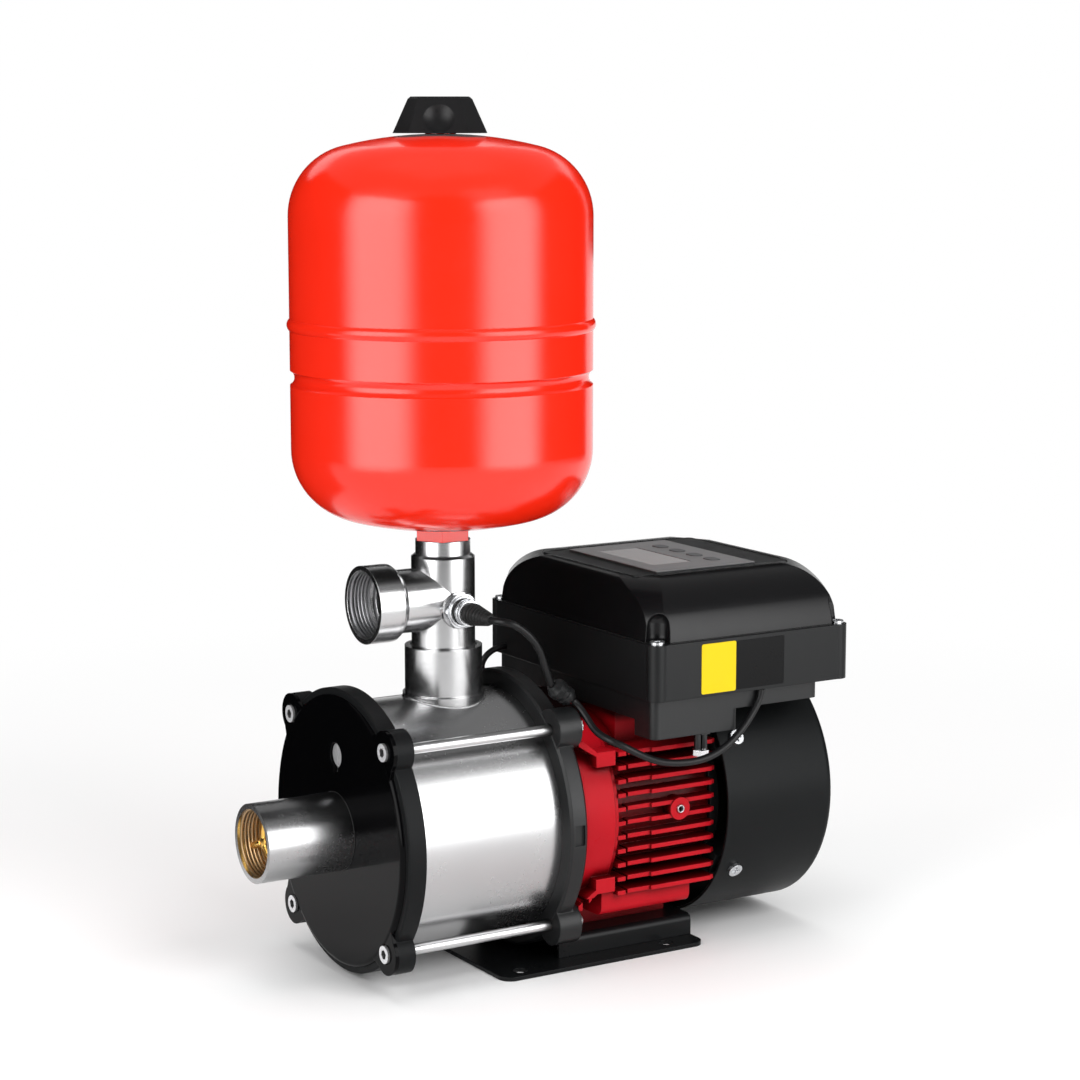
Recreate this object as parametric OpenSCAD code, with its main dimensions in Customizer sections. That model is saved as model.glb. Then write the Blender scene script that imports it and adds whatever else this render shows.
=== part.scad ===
// Horizontal multistage centrifugal booster pump: a steel barrel with four stages,
// a finned motor with a fan cowl, a speed controller on top of the motor, and a
// pressure tank that stands on the discharge tee.
// Millimetres. +X runs from the suction port to the fan, +Z is up. The origin is the
// middle of the four fixing holes, on the underside of the base plate.

/* [Base] */
// Thickness of the base sheet
base_t = 2.5; // [2:0.5:4]
// Gap between the front cover and the base sheet
cover_gap = 0.3; // [0.3:0.1:12]
// Width of the base plate
base_w = 134; // [128:1:170]
// Fixing hole spacing along the shaft
hole_sx = 105; // [95:1:125]
// Fixing hole spacing across the shaft
hole_sy = 114; // [108:1:118]
// Fixing hole diameter
hole_d = 9; // [6:0.5:11]
// Plate ahead of the front holes
plate_front = 16; // [10:1:30]
// Plate behind the rear holes
plate_rear = 23; // [12:1:40]
// Width of the foot channel
channel_w = 100; // [80:1:104]

/* [Pump end] */
// How far the front cover and the rear bracket reach beyond the barrel
cover_rim = 10.2; // [8:0.2:11]
// Thickness of the front cover
cover_t = 14; // [12:0.5:20]
// Length of barrel between cover and bracket
barrel_l = 97; // [92:1:130]
// Outer radius of the barrel
barrel_r = 75; // [74:0.5:76]
// Thickness of the barrel sheet
barrel_t = 1.4; // [1:0.1:2]
// Thickness of the rear bracket
bracket_t = 12.2; // [10:0.2:14]
// Distance from the barrel to the middle of a tie bolt
tie_out = 9.4; // [9:0.2:12]
// Radius of a tie bolt
tie_r = 3.2; // [2.5:0.1:4]
// Radius of the lugs that the tie bolts pass through
lug_r = 12.5; // [11:0.5:12.5]
// How far the suction port stands out of the cover
port_l = 55; // [40:1:80]
// Outer radius of the suction and discharge ports
port_r = 23.5; // [22:0.5:26]
// Bore radius of the threaded sockets
thread_r = 20.4; // [19:0.1:21]
// Length of the suction thread
thread_l = 22; // [16:1:26]
// Length of the outlet thread
outlet_thread_l = 16.5; // [12:0.5:18]

/* [Stages] */
// Length of the barrel that the four stages leave free
stage_room = 13; // [11:0.5:16]
// Radius of the impellers
impeller_r = 52; // [40:1:62]
// Radius of the pump shaft
shaft_r = 6; // [5:0.5:8]
// Number of blades in an impeller
blade_n = 6; // [5:1:8]

/* [Motor] */
// Length of the motor from bracket to cowl
motor_l = 103.3; // [98:0.1:140]
// Half width of the motor over its side fins
motor_half = 68; // [64:0.5:72]
// Distance from one side fin to the next
fin_pitch = 8.6; // [7:0.1:10]
// Thickness of a fin
fin_t = 2.6; // [2:0.1:4]
// Depth of the motor foot below the shaft
foot_drop = 72.5; // [70:0.5:76]
// Outer radius of the fan cowl
cowl_r = 81; // [79:0.5:82]
// Length of the fan cowl
cowl_l = 80.3; // [70:0.1:95]
// Gap between the fan and the outside of the cowl
fan_gap = 15; // [8:1:30]

/* [Controller] */
// Length of the controller frame
box_l = 143.7; // [130:0.1:150]
// Width of the controller frame
box_w = 191.4; // [184:0.2:200]
// How far the frame reaches down beside the top of the cowl
frame_dip = 4.5; // [1:0.5:6]
// Height of the frame
frame_h = 34; // [28:0.5:40]
// Height of the lid
lid_h = 34.4; // [30:0.2:34.8]
// Radius of the long top edges of the lid
lid_side_r = 35; // [34.8:0.2:36]
// Radius of the short top edges of the lid
lid_end_r = 8; // [6:0.5:10]
// How far the ends of the lid lean in
lid_lean = 4; // [0:0.5:4]
// Radius of the upright corners of the lid
lid_corner_r = 13; // [8:0.5:16]
// Depth of the box's deep part below the frame
deep_h = 24; // [20:0.5:26]
// How far a button goes down
button_travel = 0.8; // [0.3:0.1:0.9]

/* [Tee and tank] */
// Outer radius of the tee
tee_r = 19.1; // [18.5:0.1:20]
// Height of the side outlet above the barrel
outlet_rise = 59; // [53:1:67]
// How far the outlet reaches from the middle of the tee
outlet_l = 54; // [48:1:70]
// Top of the tee above its side outlet
tee_rise = 35.4; // [30:0.2:46]
// Outer radius of the tank
tank_r = 89.4; // [80:0.2:100]
// Height of the tank
tank_h = 232; // [210:1:300]
// Radius of the tank's shoulders
knuckle_r = 42; // [30:1:50]
// Radius of the tank's crowned ends
crown_r = 240; // [200:5:300]
// Thickness of the tank wall
tank_t = 1.5; // [1:0.1:2.5]

/* [Hidden] */

$fn = 72;
gap = 0.3;
slip = 0.05;

// Radii and heights that follow the barrel and the cowl
cover_r = barrel_r + cover_rim;
face_r = cover_r - 4;
tie_circle = barrel_r + tie_out;
lug_y = tie_circle * cos(45);
fan_r = cowl_r - fan_gap;
axis_h = base_t + max(cover_r + cover_gap, cowl_r + 3);

// Stations along the shaft, measured from the front face of the cover
bracket_x = cover_t + barrel_l;
motor_x = bracket_x + bracket_t;
cowl_x = motor_x + motor_l;
end_x = cowl_x + cowl_l;
foot_x = motor_x + 21.8;
tee_x = cover_t + 0.61 * barrel_l;

// Foot channel
channel_t = 2;
channel_h = axis_h - base_t - foot_drop;
channel_x0 = motor_x + 0.8;
channel_x1 = foot_x + hole_sx / 2 + plate_rear;
foot_bolt_x = [motor_x + 42.8, motor_x + 74.8];

// Barrel seats
seat_d = 5;
lug_step = 0.4;
lug_l = 16;
seat_r = barrel_r + slip;
head_r = 5.3;
head_l = 6;
head_sink = 5;
nut_x = bracket_x + lug_l - lug_step;
vent_z = 46;

// Ports and check valve
valve_x = thread_l - port_l;
relief_r = thread_r + 1;
seat_hole_r = 13.5;
poppet_r = 16.5;
poppet_travel = 8;
stem_r = 2;
valve_end = valve_x + 30;
spring_r = 7;

// Stages
stage_x = cover_t + 4;
stage_pitch = (barrel_l - stage_room) / 4;
diffuser_r = barrel_r - barrel_t - gap;
sleeve_r = 9.5;

// Shaft steps
bearing_1_x = motor_x + 6;
bearing_2_x = cowl_x - 10;
bearing_w = 14;
bearing_r = 23.5;
bearing_in_r = 10;
rotor_r = 31;
stator_r = 53;
stator_x0 = motor_x + 38;
stator_x1 = cowl_x - 26;

// Motor and cowl
body_r = 60;
fin_n = 5;
skirt_z = 59.5;
cowl_t = 1.5;
cowl_corner = 4.5;
ear_a = 30.6;
ear_x = cowl_x + 12.5;
fan_x = end_x - 48;
eye_x = motor_x + 75.8;

// Controller
box_x0 = motor_x + 38.3;
box_x1 = box_x0 + box_l;
box_mid = (box_x0 + box_x1) / 2;
frame_z = cowl_r - frame_dip;
frame_top = frame_z + frame_h;
deep_z = frame_z - deep_h;
pad_z = deep_z + 9.5;
lid_z = frame_top + 0.6;
lid_top = lid_z + lid_h;
lid_in = 1.5;
lid_skew = 58.7;
lid_reach = sin(lid_skew) * (box_l / 2 - lid_in - lid_corner_r)
    + cos(lid_skew) * (box_w / 2 - lid_in - lid_corner_r) + lid_corner_r - 0.5;
corner_in = 5.7;
wall = 5.2;
panel_x0 = box_x0 + 13.4;
panel_x1 = box_x1 - 15.4;
panel_y = 55;
panel_d = 1.5;
button_x = box_x0 + 87.2;
button_pitch = 19;
button_l = 12;
button_w = 8;
deep_x1 = cowl_x + 0.4;
shallow_x1 = box_x1 - 18.7;
in_x = wall + gap;
in_y = box_w / 2 - wall - gap;
floor_z = frame_z + 7.5;
floor_top = frame_z + 10.5;
gland_x = motor_x + 82.7;
gland_y = 80;
board_z = lid_top - 11.5;
power_z = frame_z + 15.5;
window_x0 = box_x0 + 43.2;
window_x1 = window_x0 + 29;
window_y0 = -29;
window_y1 = 33;
pocket_r = 7.5;

// Tee and tank
stub_top = barrel_r + 30.4;
outlet_z = barrel_r + outlet_rise;
sensor_z = outlet_z - 5;
tee_top = outlet_z + tee_rise;
tank_z = tee_top + 6.8;
bead_z = tank_z + 121.3;
bead_r = 4.6;
bead_out = 1.6;
groove_z = tank_z + 90.3;
groove_r = 5;
groove_d = 2.6;
cap_z = tank_z + tank_h + 0.3;
cap_h = 20.9;
cap_foot = 27;
cap_top = 17.8;

// Sensor lead: points beside the sensor, over a lug of the bracket, and under the box
sensor_d = 4.4;
plug_r = 6;
sensor_route = concat(
    [for (p = [[0, -57.1, 0], [1, -62, 0], [4, -66, -0.3], [9, -68.5, -2], [15, -69, -6],
        [21, -69.5, -12], [26, -69, -19.5]]) p + [tee_x, 0, sensor_z]],
    [for (p = [[-8, -7.8, 41.3], [-4, -5.3, 34.3], [0, -2.8, 27.8], [7, -2.2, 23.2], [14, -1.8, 17.4],
        [17.8, -3.8, 13.5], [20, -8.8, 7.8], [21, -14.8, 2.3], [22, -21, -1]])
        p + [bracket_x, -lug_y, lug_y]],
    [for (p = [[-26, 6.7, -20.5], [-20.5, 2.2, -23.5], [-13.5, 0, -27.5], [-4.5, -0.5, -32],
        [6.5, -0.5, -36], [19.5, -0.5, -38], [32.5, -0.5, -38], [44.5, 0, -35.5], [55.5, 1, -30.5],
        [65.5, 2, -23], [73.5, 2.5, -14], [78.5, 2.7, -6], [79.5, 2.7, -0.5]])
        p + [box_x0, -box_w / 2, frame_z]]);
// Motor lead: from the box down to the far side of the motor
motor_lead_d = 4;
motor_route = concat(
    [for (p = [[0, 76, 5.5], [-4.8, 76, 5], [-9.8, 76.5, 3.5], [-14.3, 77, 0], [-16.8, 77.5, -5]])
        p + [box_x0, 0, frame_z]],
    [for (p = [[21.8, 77.5, 66], [21.3, 77, 60], [20.8, 76.5, 54], [19.8, 76, 48], [18.3, 75.5, 42],
        [16.8, 74.5, 36], [15.3, 73.5, 30.5], [13.8, 72, 26], [12.3, 70, 22]]) p + [motor_x, 0, 0]]);

// Moves the shaft's frame to the base plate's frame
module on_axis() translate([-foot_x, 0, axis_h]) children();

// Round bar along the shaft from station a to station b
module bar_x(a, b, r) translate([a, 0, 0]) rotate([0, 90, 0]) cylinder(h = b - a, r = r);

// Ring along the shaft
module ring_x(a, b, r_out, r_in) difference() {
    bar_x(a, b, r_out);
    bar_x(a - 1, b + 1, r_in);
}

// Turned shape: the outline's x is the radius and its y the station on the shaft
module turned() rotate([0, 90, 0]) rotate_extrude() children();

// Outline across the shaft (x is Y, y is Z), drawn out from station a to station b
module along_x(a, b) translate([a, 0, 0]) rotate([90, 0, 90]) linear_extrude(b - a) children();

// Outline seen from the side (x is X, y is Z), drawn out across the shaft
module across(y0, y1) translate([0, y1, 0]) rotate([90, 0, 0]) linear_extrude(y1 - y0) children();

module at_ties() for (a = [45 : 90 : 315]) rotate([a, 0, 0]) translate([0, 0, tie_circle]) children();

// Flat outline with round corners
module round_rect(x0, x1, y0, y1, r) {
    translate([x0 + r, y0]) square([x1 - x0 - 2 * r, y1 - y0]);
    translate([x0, y0 + r]) square([x1 - x0, y1 - y0 - 2 * r]);
    for (x = [x0 + r, x1 - r], y = [y0 + r, y1 - r]) translate([x, y]) circle(r);
}

// Upright block with round corners
module block(x0, x1, y0, y1, z0, z1, r) translate([0, 0, z0]) linear_extrude(z1 - z0)
    round_rect(x0, x1, y0, y1, r);

// Round tube along a list of points: eight sides, one ring at each point of a smooth curve
function spline(p, i, t) = let (n = len(p), a = p[max(i - 1, 0)], b = p[i], c = p[min(i + 1, n - 1)],
    d = p[min(i + 2, n - 1)]) 0.5 * (2 * b + (c - a) * t + (2 * a - 5 * b + 4 * c - d) * t * t
    + (3 * b - a - 3 * c + d) * t * t * t);
function smooth(p, m) = concat([for (i = [0 : len(p) - 2], k = [0 : m - 1]) spline(p, i, k / m)],
    [p[len(p) - 1]]);
function unit(v) = v / norm(v);
function way(q, i) = unit(q[min(i + 1, len(q) - 1)] - q[max(i - 1, 0)]);
function turn_side(s, w) = unit(s - (s * w) * w);
function sides(q, i, s) = i == len(q) ? [] :
    let (t = turn_side(s, way(q, i))) concat([t], sides(q, i + 1, t));
module tube(p, d, m = 2, n = 8) {
    q = smooth(p, m);
    s = sides(q, 0, abs(way(q, 0).z) < 0.7 ? [0, 0, 1] : [0, 1, 0]);
    pts = [for (i = [0 : len(q) - 1], k = [0 : n - 1])
        let (w = way(q, i), v = cross(w, s[i]), a = 360 * k / n)
        q[i] + d / 2 * (cos(a) * s[i] + sin(a) * v)];
    last = (len(q) - 1) * n;
    faces = concat([[for (k = [0 : n - 1]) k]], [[for (k = [n - 1 : -1 : 0]) last + k]],
        [for (i = [0 : len(q) - 2], k = [0 : n - 1]) [i * n + k, i * n + n + k,
        i * n + n + (k + 1) % n, i * n + (k + 1) % n]]);
    polyhedron(pts, faces, convexity = 8);
}

// Base

module base_plate() color("#17181b") difference() {
    block(-hole_sx / 2 - plate_front, hole_sx / 2 + plate_rear, -base_w / 2, base_w / 2, 0, base_t, 8);
    for (x = [-hole_sx / 2, hole_sx / 2], y = [-hole_sy / 2, hole_sy / 2])
        translate([x, y, -1]) cylinder(h = base_t + 2, d = hole_d);
}

// Pressed channel that lifts the motor: two webs, a top, and round bends between them
module foot_channel() color("#1b1c1f") on_axis() difference() {
    along_x(channel_x0, channel_x1) translate([0, -foot_drop - channel_h]) difference() {
        channel_outline(channel_w / 2, channel_h, 4);
        channel_outline(channel_w / 2 - channel_t, channel_h - channel_t, 2);
    }
    for (x = foot_bolt_x) translate([x, 0, -foot_drop - channel_t - 1])
        cylinder(h = channel_t + 2, r = 4.3);
}
module channel_outline(w, h, r) {
    translate([-w, 0]) square([2 * w, h - r]);
    translate([-w + r, 0]) square([2 * (w - r), h]);
    for (s = [-1, 1]) translate([s * (w - r), h - r]) circle(r);
}

module foot_bolts() color("silver") on_axis() for (x = foot_bolt_x) translate([x, 0, 0]) {
    translate([0, 0, -foot_drop - channel_t - 5.5]) cylinder(h = 5.5, r = 7.2, $fn = 6);
    translate([0, 0, -foot_drop - channel_t]) cylinder(h = channel_t + 11, r = 4);
}

// Pump end

// Lugs for the tie bolts, a little lower than the machined faces; a broad heel blends each one
// into the disc as far as station c
module tie_lugs(a, b, c) at_ties() {
    bar_x(a + lug_step, b - lug_step, lug_r);
    along_x(a + lug_step, c - lug_step)
        polygon([[-lug_r - 8, -15], [lug_r + 8, -15], [lug_r - 0.5, 1], [-lug_r + 0.5, 1]]);
}

// Machined face with a round edge, and a lower rim behind it
module front_cover() color("#141518") on_axis() difference() {
    union() {
        turned() {
            polygon([[port_r + slip, 0], [face_r - 3, 0], [face_r - 3, 3], [cover_r - 0.6, 3],
                [cover_r, 3.6], [cover_r, cover_t], [port_r + slip, cover_t]]);
            translate([face_r - 3, 3]) circle(3);
        }
        tie_lugs(0, cover_t, cover_t);
    }
    bar_x(cover_t - seat_d, cover_t + 1, seat_r);
    at_ties() bar_x(-1, cover_t + 1, tie_r + 0.15);
    at_ties() bar_x(-1, head_sink, head_r + 0.4);
    translate([0, 0, vent_z]) {
        bar_x(-1, 4, 7.4);
        bar_x(3, cover_t, 5 + slip);
        translate([-1, -2.5, -11.2]) cube([4.6, 5, 5.8]);
    }
}

// Plug that sits in a shallow recess, with a tab below it
module vent_plug() color("silver") on_axis() translate([0, 0, vent_z]) difference() {
    union() {
        bar_x(1.6, 4, 7);
        bar_x(3.5, cover_t - seat_d - 0.5, 5);
        translate([2.2, -2, -10.6]) cube([1.2, 4, 5]);
    }
    translate([1, -0.8, -8]) cube([1.4, 1.6, 16]);
}

module suction_port() color("#c9ccd0") on_axis() difference() {
    bar_x(-port_l, cover_t - 2, port_r);
    bar_x(-port_l - 1, valve_x, thread_r);
    bar_x(valve_x, cover_t, relief_r);
}

// Brass cage: a seat ring with a cross in front, three legs and a cross behind that guides the stem
module check_valve_cage() color("#c8922e") on_axis() {
    ring_x(valve_x, valve_x + 6, relief_r - slip, seat_hole_r);
    bar_x(valve_x + 0.1, valve_x + 4, 5);
    spokes(valve_x + 0.5, 3, seat_hole_r + 1);
    for (a = [0, 120, 240]) rotate([a, 0, 0]) translate([valve_x + 5, -2.5, poppet_r + 1])
        cube([valve_end - valve_x - 5, 5, relief_r - poppet_r - 2]);
    ring_x(valve_end - 4, valve_end, 5, stem_r + slip);
    spokes(valve_end - 3.5, 3, poppet_r + 2);
}
module spokes(x, t, r) for (a = [0, 120, 240]) rotate([a, 0, 0]) translate([x, -1.6, 4.2])
    cube([t, 3.2, r - 4.2]);

module check_valve_poppet() color("#26282b") on_axis() {
    bar_x(valve_x + 4.2, valve_end + 1, stem_r);
    bar_x(valve_x + 6.1, valve_x + 9, poppet_r);
    bar_x(valve_x + 9, valve_x + 11, 5);
}

// Wire helix behind the poppet
module check_valve_spring() color("silver") on_axis() {
    turns = 5;
    x0 = valve_x + 9.8;
    x1 = valve_end - 4.8;
    tube([for (i = [0 : turns * 10]) let (a = 36 * i) [x0 + (x1 - x0) * i / (turns * 10),
        spring_r * cos(a), spring_r * sin(a)]], 1.2, 1);
}

// Socket head bolt, with its nut behind the motor flange
module tie_bolts() color("silver") on_axis() at_ties() {
    difference() {
        union() {
            bar_x(head_sink - head_l, head_sink, head_r);
            bar_x(head_sink, nut_x + 6.5, tie_r);
        }
        translate([head_sink - head_l - 1, 0, 0]) rotate([0, 90, 0]) cylinder(h = 4, r = 2.9, $fn = 6);
    }
    difference() {
        translate([nut_x, 0, 0]) rotate([0, 90, 0]) cylinder(h = 5, r = 5.7, $fn = 6);
        bar_x(nut_x - 1, nut_x + 6, tie_r + slip);
    }
}

module barrel() color("#cfd2d6") on_axis() difference() {
    ring_x(cover_t - seat_d + 0.1, bracket_x + seat_d - 0.1, barrel_r, barrel_r - barrel_t);
    translate([tee_x, 0, 0]) cylinder(h = barrel_r + 5, r = thread_r);
}

module barrel_seals() color("#101010") on_axis()
    for (x = [cover_t - seat_d + 1.6, bracket_x + seat_d - 1.6])
    turned() translate([barrel_r - barrel_t - 1.2, x]) circle(1.1);

// Welded socket on top of the barrel
module discharge_port() color("#d4d6d9") on_axis() difference() {
    translate([tee_x, 0, 0]) union() {
        translate([0, 0, 60]) cylinder(h = stub_top - 60, r = port_r - 0.2);
        translate([0, 0, barrel_r - 6]) cylinder(h = 8, r = port_r + 1.2);
    }
    bar_x(cover_t, bracket_x, barrel_r + slip);
    translate([tee_x, 0, 0]) cylinder(h = stub_top + 1, r = thread_r);
}

// Stages

// Stage chamber: a cup with an eye in its floor and a ring of return vanes
module diffuser(i) color("#b9bdc2") on_axis() translate([stage_x + i * stage_pitch, 0, 0]) {
    len_x = stage_pitch - 0.2;
    ring_x(0, len_x, diffuser_r, diffuser_r - 1.2);
    ring_x(0.2, 1.4, diffuser_r - 0.6, 20.5);
    ring_x(13.2, 14.4, 60, sleeve_r + 1.5);
    for (k = [0 : 7]) rotate([45 * k, 0, 0]) translate([14.2, -0.8, 22])
        cube([len_x - 14.5, 1.6, diffuser_r - 22.6]);
}
module diffuser_1() diffuser(0);
module diffuser_2() diffuser(1);
module diffuser_3() diffuser(2);
module diffuser_4() diffuser(3);

// Closed impeller: two shrouds, an eye collar, a hub and backswept blades
module impeller(i) color("#c4c7cb") on_axis() translate([stage_x + i * stage_pitch + 2.2, 0, 0]) {
    ring_x(0, 1, impeller_r, 17);
    ring_x(-1.8, 0.5, 19, 17);
    ring_x(8, 9, impeller_r, shaft_r + slip);
    ring_x(1.5, 9.5, 9.2, shaft_r + slip);
    for (k = [0 : blade_n - 1]) rotate([k * 360 / blade_n, 0, 0]) blade_arc();
}
// One blade: a slice of a ring that starts at the eye and ends at the rim
module blade_arc() intersection() {
    translate([0, impeller_r * 0.42, 0]) ring_x(0.9, 8.1, impeller_r * 0.6, impeller_r * 0.6 - 1.2);
    ring_x(0.5, 8.5, impeller_r - 0.2, 17.5);
    translate([0, -impeller_r, 0]) cube([10, 2 * impeller_r, impeller_r]);
}
module impeller_1() impeller(0);
module impeller_2() impeller(1);
module impeller_3() impeller(2);
module impeller_4() impeller(3);

module spacer_sleeves() color("silver") on_axis() for (i = [0 : 3]) {
    x = stage_x + i * stage_pitch + 11.8;
    ring_x(x, i < 3 ? x + stage_pitch - 8.1 : bracket_x - 12, sleeve_r - 0.5, shaft_r + slip);
}

module impeller_nut() color("silver") on_axis() difference() {
    translate([stage_x - 2.6, 0, 0]) rotate([0, 90, 0]) cylinder(h = 6.2, r = 9, $fn = 6);
    bar_x(stage_x - 4, stage_x + 5, shaft_r + slip);
}

module shaft() color("#d0d2d4") on_axis() turned() polygon([[0, stage_x - 4], [shaft_r, stage_x - 4],
    [shaft_r, bracket_x + 10], [bearing_in_r - slip, bracket_x + 10], [bearing_in_r - slip, stator_x0 - 4],
    [12, stator_x0 - 4], [12, stator_x1 + 4], [bearing_in_r - slip, stator_x1 + 4],
    [bearing_in_r - slip, bearing_2_x + bearing_w + 1], [7, bearing_2_x + bearing_w + 1],
    [7, end_x - 22], [0, end_x - 22]]);

module seal_ring() color("#3a3b3d") on_axis() {
    ring_x(bracket_x - 11.5, bracket_x - 2, 12, shaft_r + slip);
    ring_x(bracket_x - 2, bracket_x + 1, 10, shaft_r + slip);
}
module seal_seat() color("#e5e2d8") on_axis()
    ring_x(bracket_x + 1.1, bracket_x + 7, 16 - slip, shaft_r + 0.6);

module rear_bracket() color("#141518") on_axis() difference() {
    union() {
        turned() polygon([[16, bracket_x - 4], [24, bracket_x - 4], [26, bracket_x + seat_d],
            [cover_r - 1.5, bracket_x], [cover_r, bracket_x + 1.5], [cover_r, motor_x - 2],
            [cover_r - 2, motor_x], [16, motor_x]]);
        turned() polygon([[seat_r, bracket_x], [cover_r - 1.5, bracket_x], [cover_r - 1.5, motor_x - 1],
            [26, motor_x - 1], [26, bracket_x + seat_d], [seat_r, bracket_x + seat_d]]);
        tie_lugs(bracket_x, bracket_x + lug_l, motor_x);
    }
    difference() {
        bar_x(bracket_x - 1, bracket_x + seat_d, seat_r);
        bar_x(bracket_x - 9, bracket_x + seat_d + 1, 26);
    }
    at_ties() bar_x(bracket_x - 1, nut_x + 1, tie_r + 0.15);
    for (s = [-1, 1]) translate([bracket_x + 3, s * cover_r - 2, -6]) cube([6.5, 4, 12]);
}

// Motor

module motor_housing() color("#b5121b") on_axis() difference() {
    union() {
        // Flange, smooth ring and the ridge behind it
        bar_x(motor_x, motor_x + 5, motor_half + 3);
        intersection() {
            union() {
                bar_x(motor_x, motor_x + 28.8, motor_half + 1.5);
                bar_x(motor_x + 20, motor_x + 31.7, motor_half + 0.3);
            }
            translate([motor_x, -100, -skirt_z]) cube([40, 200, 2 * skirt_z + 10]);
        }
        bar_x(motor_x + 20, cowl_x - 1, body_r);
        side_fins();
        for (s = [-1, 1]) side_lugs(s);
        // Smooth lower body and the foot below it
        along_x(motor_x + 22.9, cowl_x - 16.3) lower_outline();
        translate([motor_x + 26.8, -32, -foot_drop]) cube([62, 64, foot_drop - body_r + 8]);
        // Pad under the controller, and the boss of a lifting eye
        translate([box_x0 + 6, -44, 40]) cube([46, 88, pad_z - 40]);
        translate([eye_x, -motor_half - 1, 2]) rotate([-90, 0, 0]) cylinder(h = 14, r = 7);
    }
    // Bore for the stator, bearing seat and shaft hole
    bar_x(motor_x + 24, cowl_x + 1, stator_r + slip);
    bar_x(motor_x + 6, motor_x + 25, bearing_r + slip);
    bar_x(motor_x - 1, motor_x + 7, 15);
    translate([eye_x, -motor_half - 2, 2]) rotate([-90, 0, 0]) cylinder(h = 9, r = 2.6);
    for (x = foot_bolt_x) translate([x, 0, -foot_drop - 1]) cylinder(h = 12, r = 4 + slip);
    // Upright slots between the ribs of the lower front corners
    for (s = [-1, 1], x = [motor_x + 7, motor_x + 13.5])
        translate([x, s * 62 - 8, -skirt_z - 1]) cube([4.5, 16, 15]);
}
module lower_outline() intersection() {
    round_rect(-63, 63, -skirt_z, 20, 6);
    translate([-70, -skirt_z - 1]) square([140, 16]);
}
// Side fins lie flat: short roots, a groove, then fins that are lower at both ends
module side_fins() for (s = [-1, 1], k = [-fin_n : fin_n]) {
    fin(s, k, motor_x + 31.5, motor_x + 37, 0);
    fin(s, k, motor_x + 39.4, motor_x + 56, 1.6);
    fin(s, k, motor_x + 55.6, cowl_x - 3.6, 0);
    fin(s, k, cowl_x - 4, cowl_x - 1, 1.6);
}
module fin(s, k, x0, x1, low) mirror([0, s < 0 ? 1 : 0, 0])
    translate([x0, 20, k * fin_pitch - 2 - fin_t / 2]) cube([x1 - x0, motor_half - low - 20, fin_t]);
// Cast block with a raking rib that runs up to the flange
module side_lugs(s) for (m = [0, 1]) mirror([0, 0, m])
    across(s > 0 ? 46 : -motor_half + 1, s > 0 ? motor_half - 1 : -46)
    polygon([[motor_x + 4, 52], [motor_x + 6.6, 52], [motor_x + 17.5, 43.5], [motor_x + 30, 43.5],
        [motor_x + 30, 34.5], [motor_x + 16.5, 34.5], [motor_x + 16.5, 41], [motor_x + 4, 49]]);

module stator_core() color("#8b8e93") on_axis() difference() {
    bar_x(stator_x0, stator_x1, stator_r);
    bar_x(stator_x0 - 1, stator_x1 + 1, rotor_r + 0.6);
    for (k = [0 : 23]) rotate([15 * k, 0, 0]) translate([stator_x0 - 1, -1.5, rotor_r + 2])
        cube([stator_x1 - stator_x0 + 2, 3, 10]);
}
module stator_windings() color("#b0622a") on_axis() for (x = [stator_x0 - 10, stator_x1 + 0.1])
    turned() translate([0, x]) round_rect(rotor_r + 3, stator_r - 4, 0, 9.9, 3);
module rotor_core() color("#9a9da1") on_axis() ring_x(stator_x0 + 0.5, stator_x1 - 0.5, rotor_r, 12 + slip);

module bearing_outer_rings() color("silver") on_axis() for (x = [bearing_1_x, bearing_2_x])
    turned() translate([0, x]) difference() {
        translate([bearing_r - 4, 0]) square([4, bearing_w]);
        translate([(bearing_r + bearing_in_r) / 2, bearing_w / 2]) circle(4.2);
    }
module bearing_inner_rings() color("silver") on_axis() for (x = [bearing_1_x, bearing_2_x])
    turned() translate([0, x]) difference() {
        translate([bearing_in_r, 0]) square([4, bearing_w]);
        translate([(bearing_r + bearing_in_r) / 2, bearing_w / 2]) circle(4.2);
    }
module bearing_balls() color("silver") on_axis() for (x = [bearing_1_x, bearing_2_x], k = [0 : 7])
    rotate([45 * k, 0, 0]) translate([x + bearing_w / 2, 0, (bearing_r + bearing_in_r) / 2]) sphere(3.9);

// Rear end shield with a bearing pocket and four ears for the cowl
module end_shield() color("#1a1b1e") on_axis() difference() {
    union() {
        bar_x(cowl_x - 1, cowl_x + 5, body_r + 3);
        bar_x(bearing_2_x - 2, cowl_x + 5, bearing_r + 5);
        intersection() {
            at_ears() translate([cowl_x, -7, body_r - 6]) cube([18, 14, cowl_r - body_r]);
            bar_x(cowl_x - 1, cowl_x + 19, cowl_r - cowl_t - gap);
        }
    }
    bar_x(bearing_2_x, bearing_2_x + bearing_w, bearing_r + slip);
    bar_x(bearing_2_x - 3, cowl_x + 6, 15);
    difference() {
        bar_x(cowl_x - 2, cowl_x, stator_r - 3);
        bar_x(cowl_x - 3, cowl_x + 1, bearing_r + 5);
    }
    at_ears() translate([ear_x, 0, body_r + 4]) cylinder(h = 30, r = 2.5 + slip);
}
module at_ears() for (s = [-1, 1], t = [-1, 1]) rotate([s * (90 - t * ear_a), 0, 0]) children();

// Fan

module fan() color("#2a2c30") on_axis() difference() {
    union() {
        bar_x(fan_x, fan_x + 24, 13);
        bar_x(fan_x, fan_x + 2.5, fan_r - 6);
        for (k = [0 : 8]) rotate([40 * k, 0, 0]) translate([fan_x + 1, -1.1, 8]) cube([24, 2.2, fan_r - 8]);
    }
    bar_x(fan_x - 1, fan_x + 30, 7 + slip);
}

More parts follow.
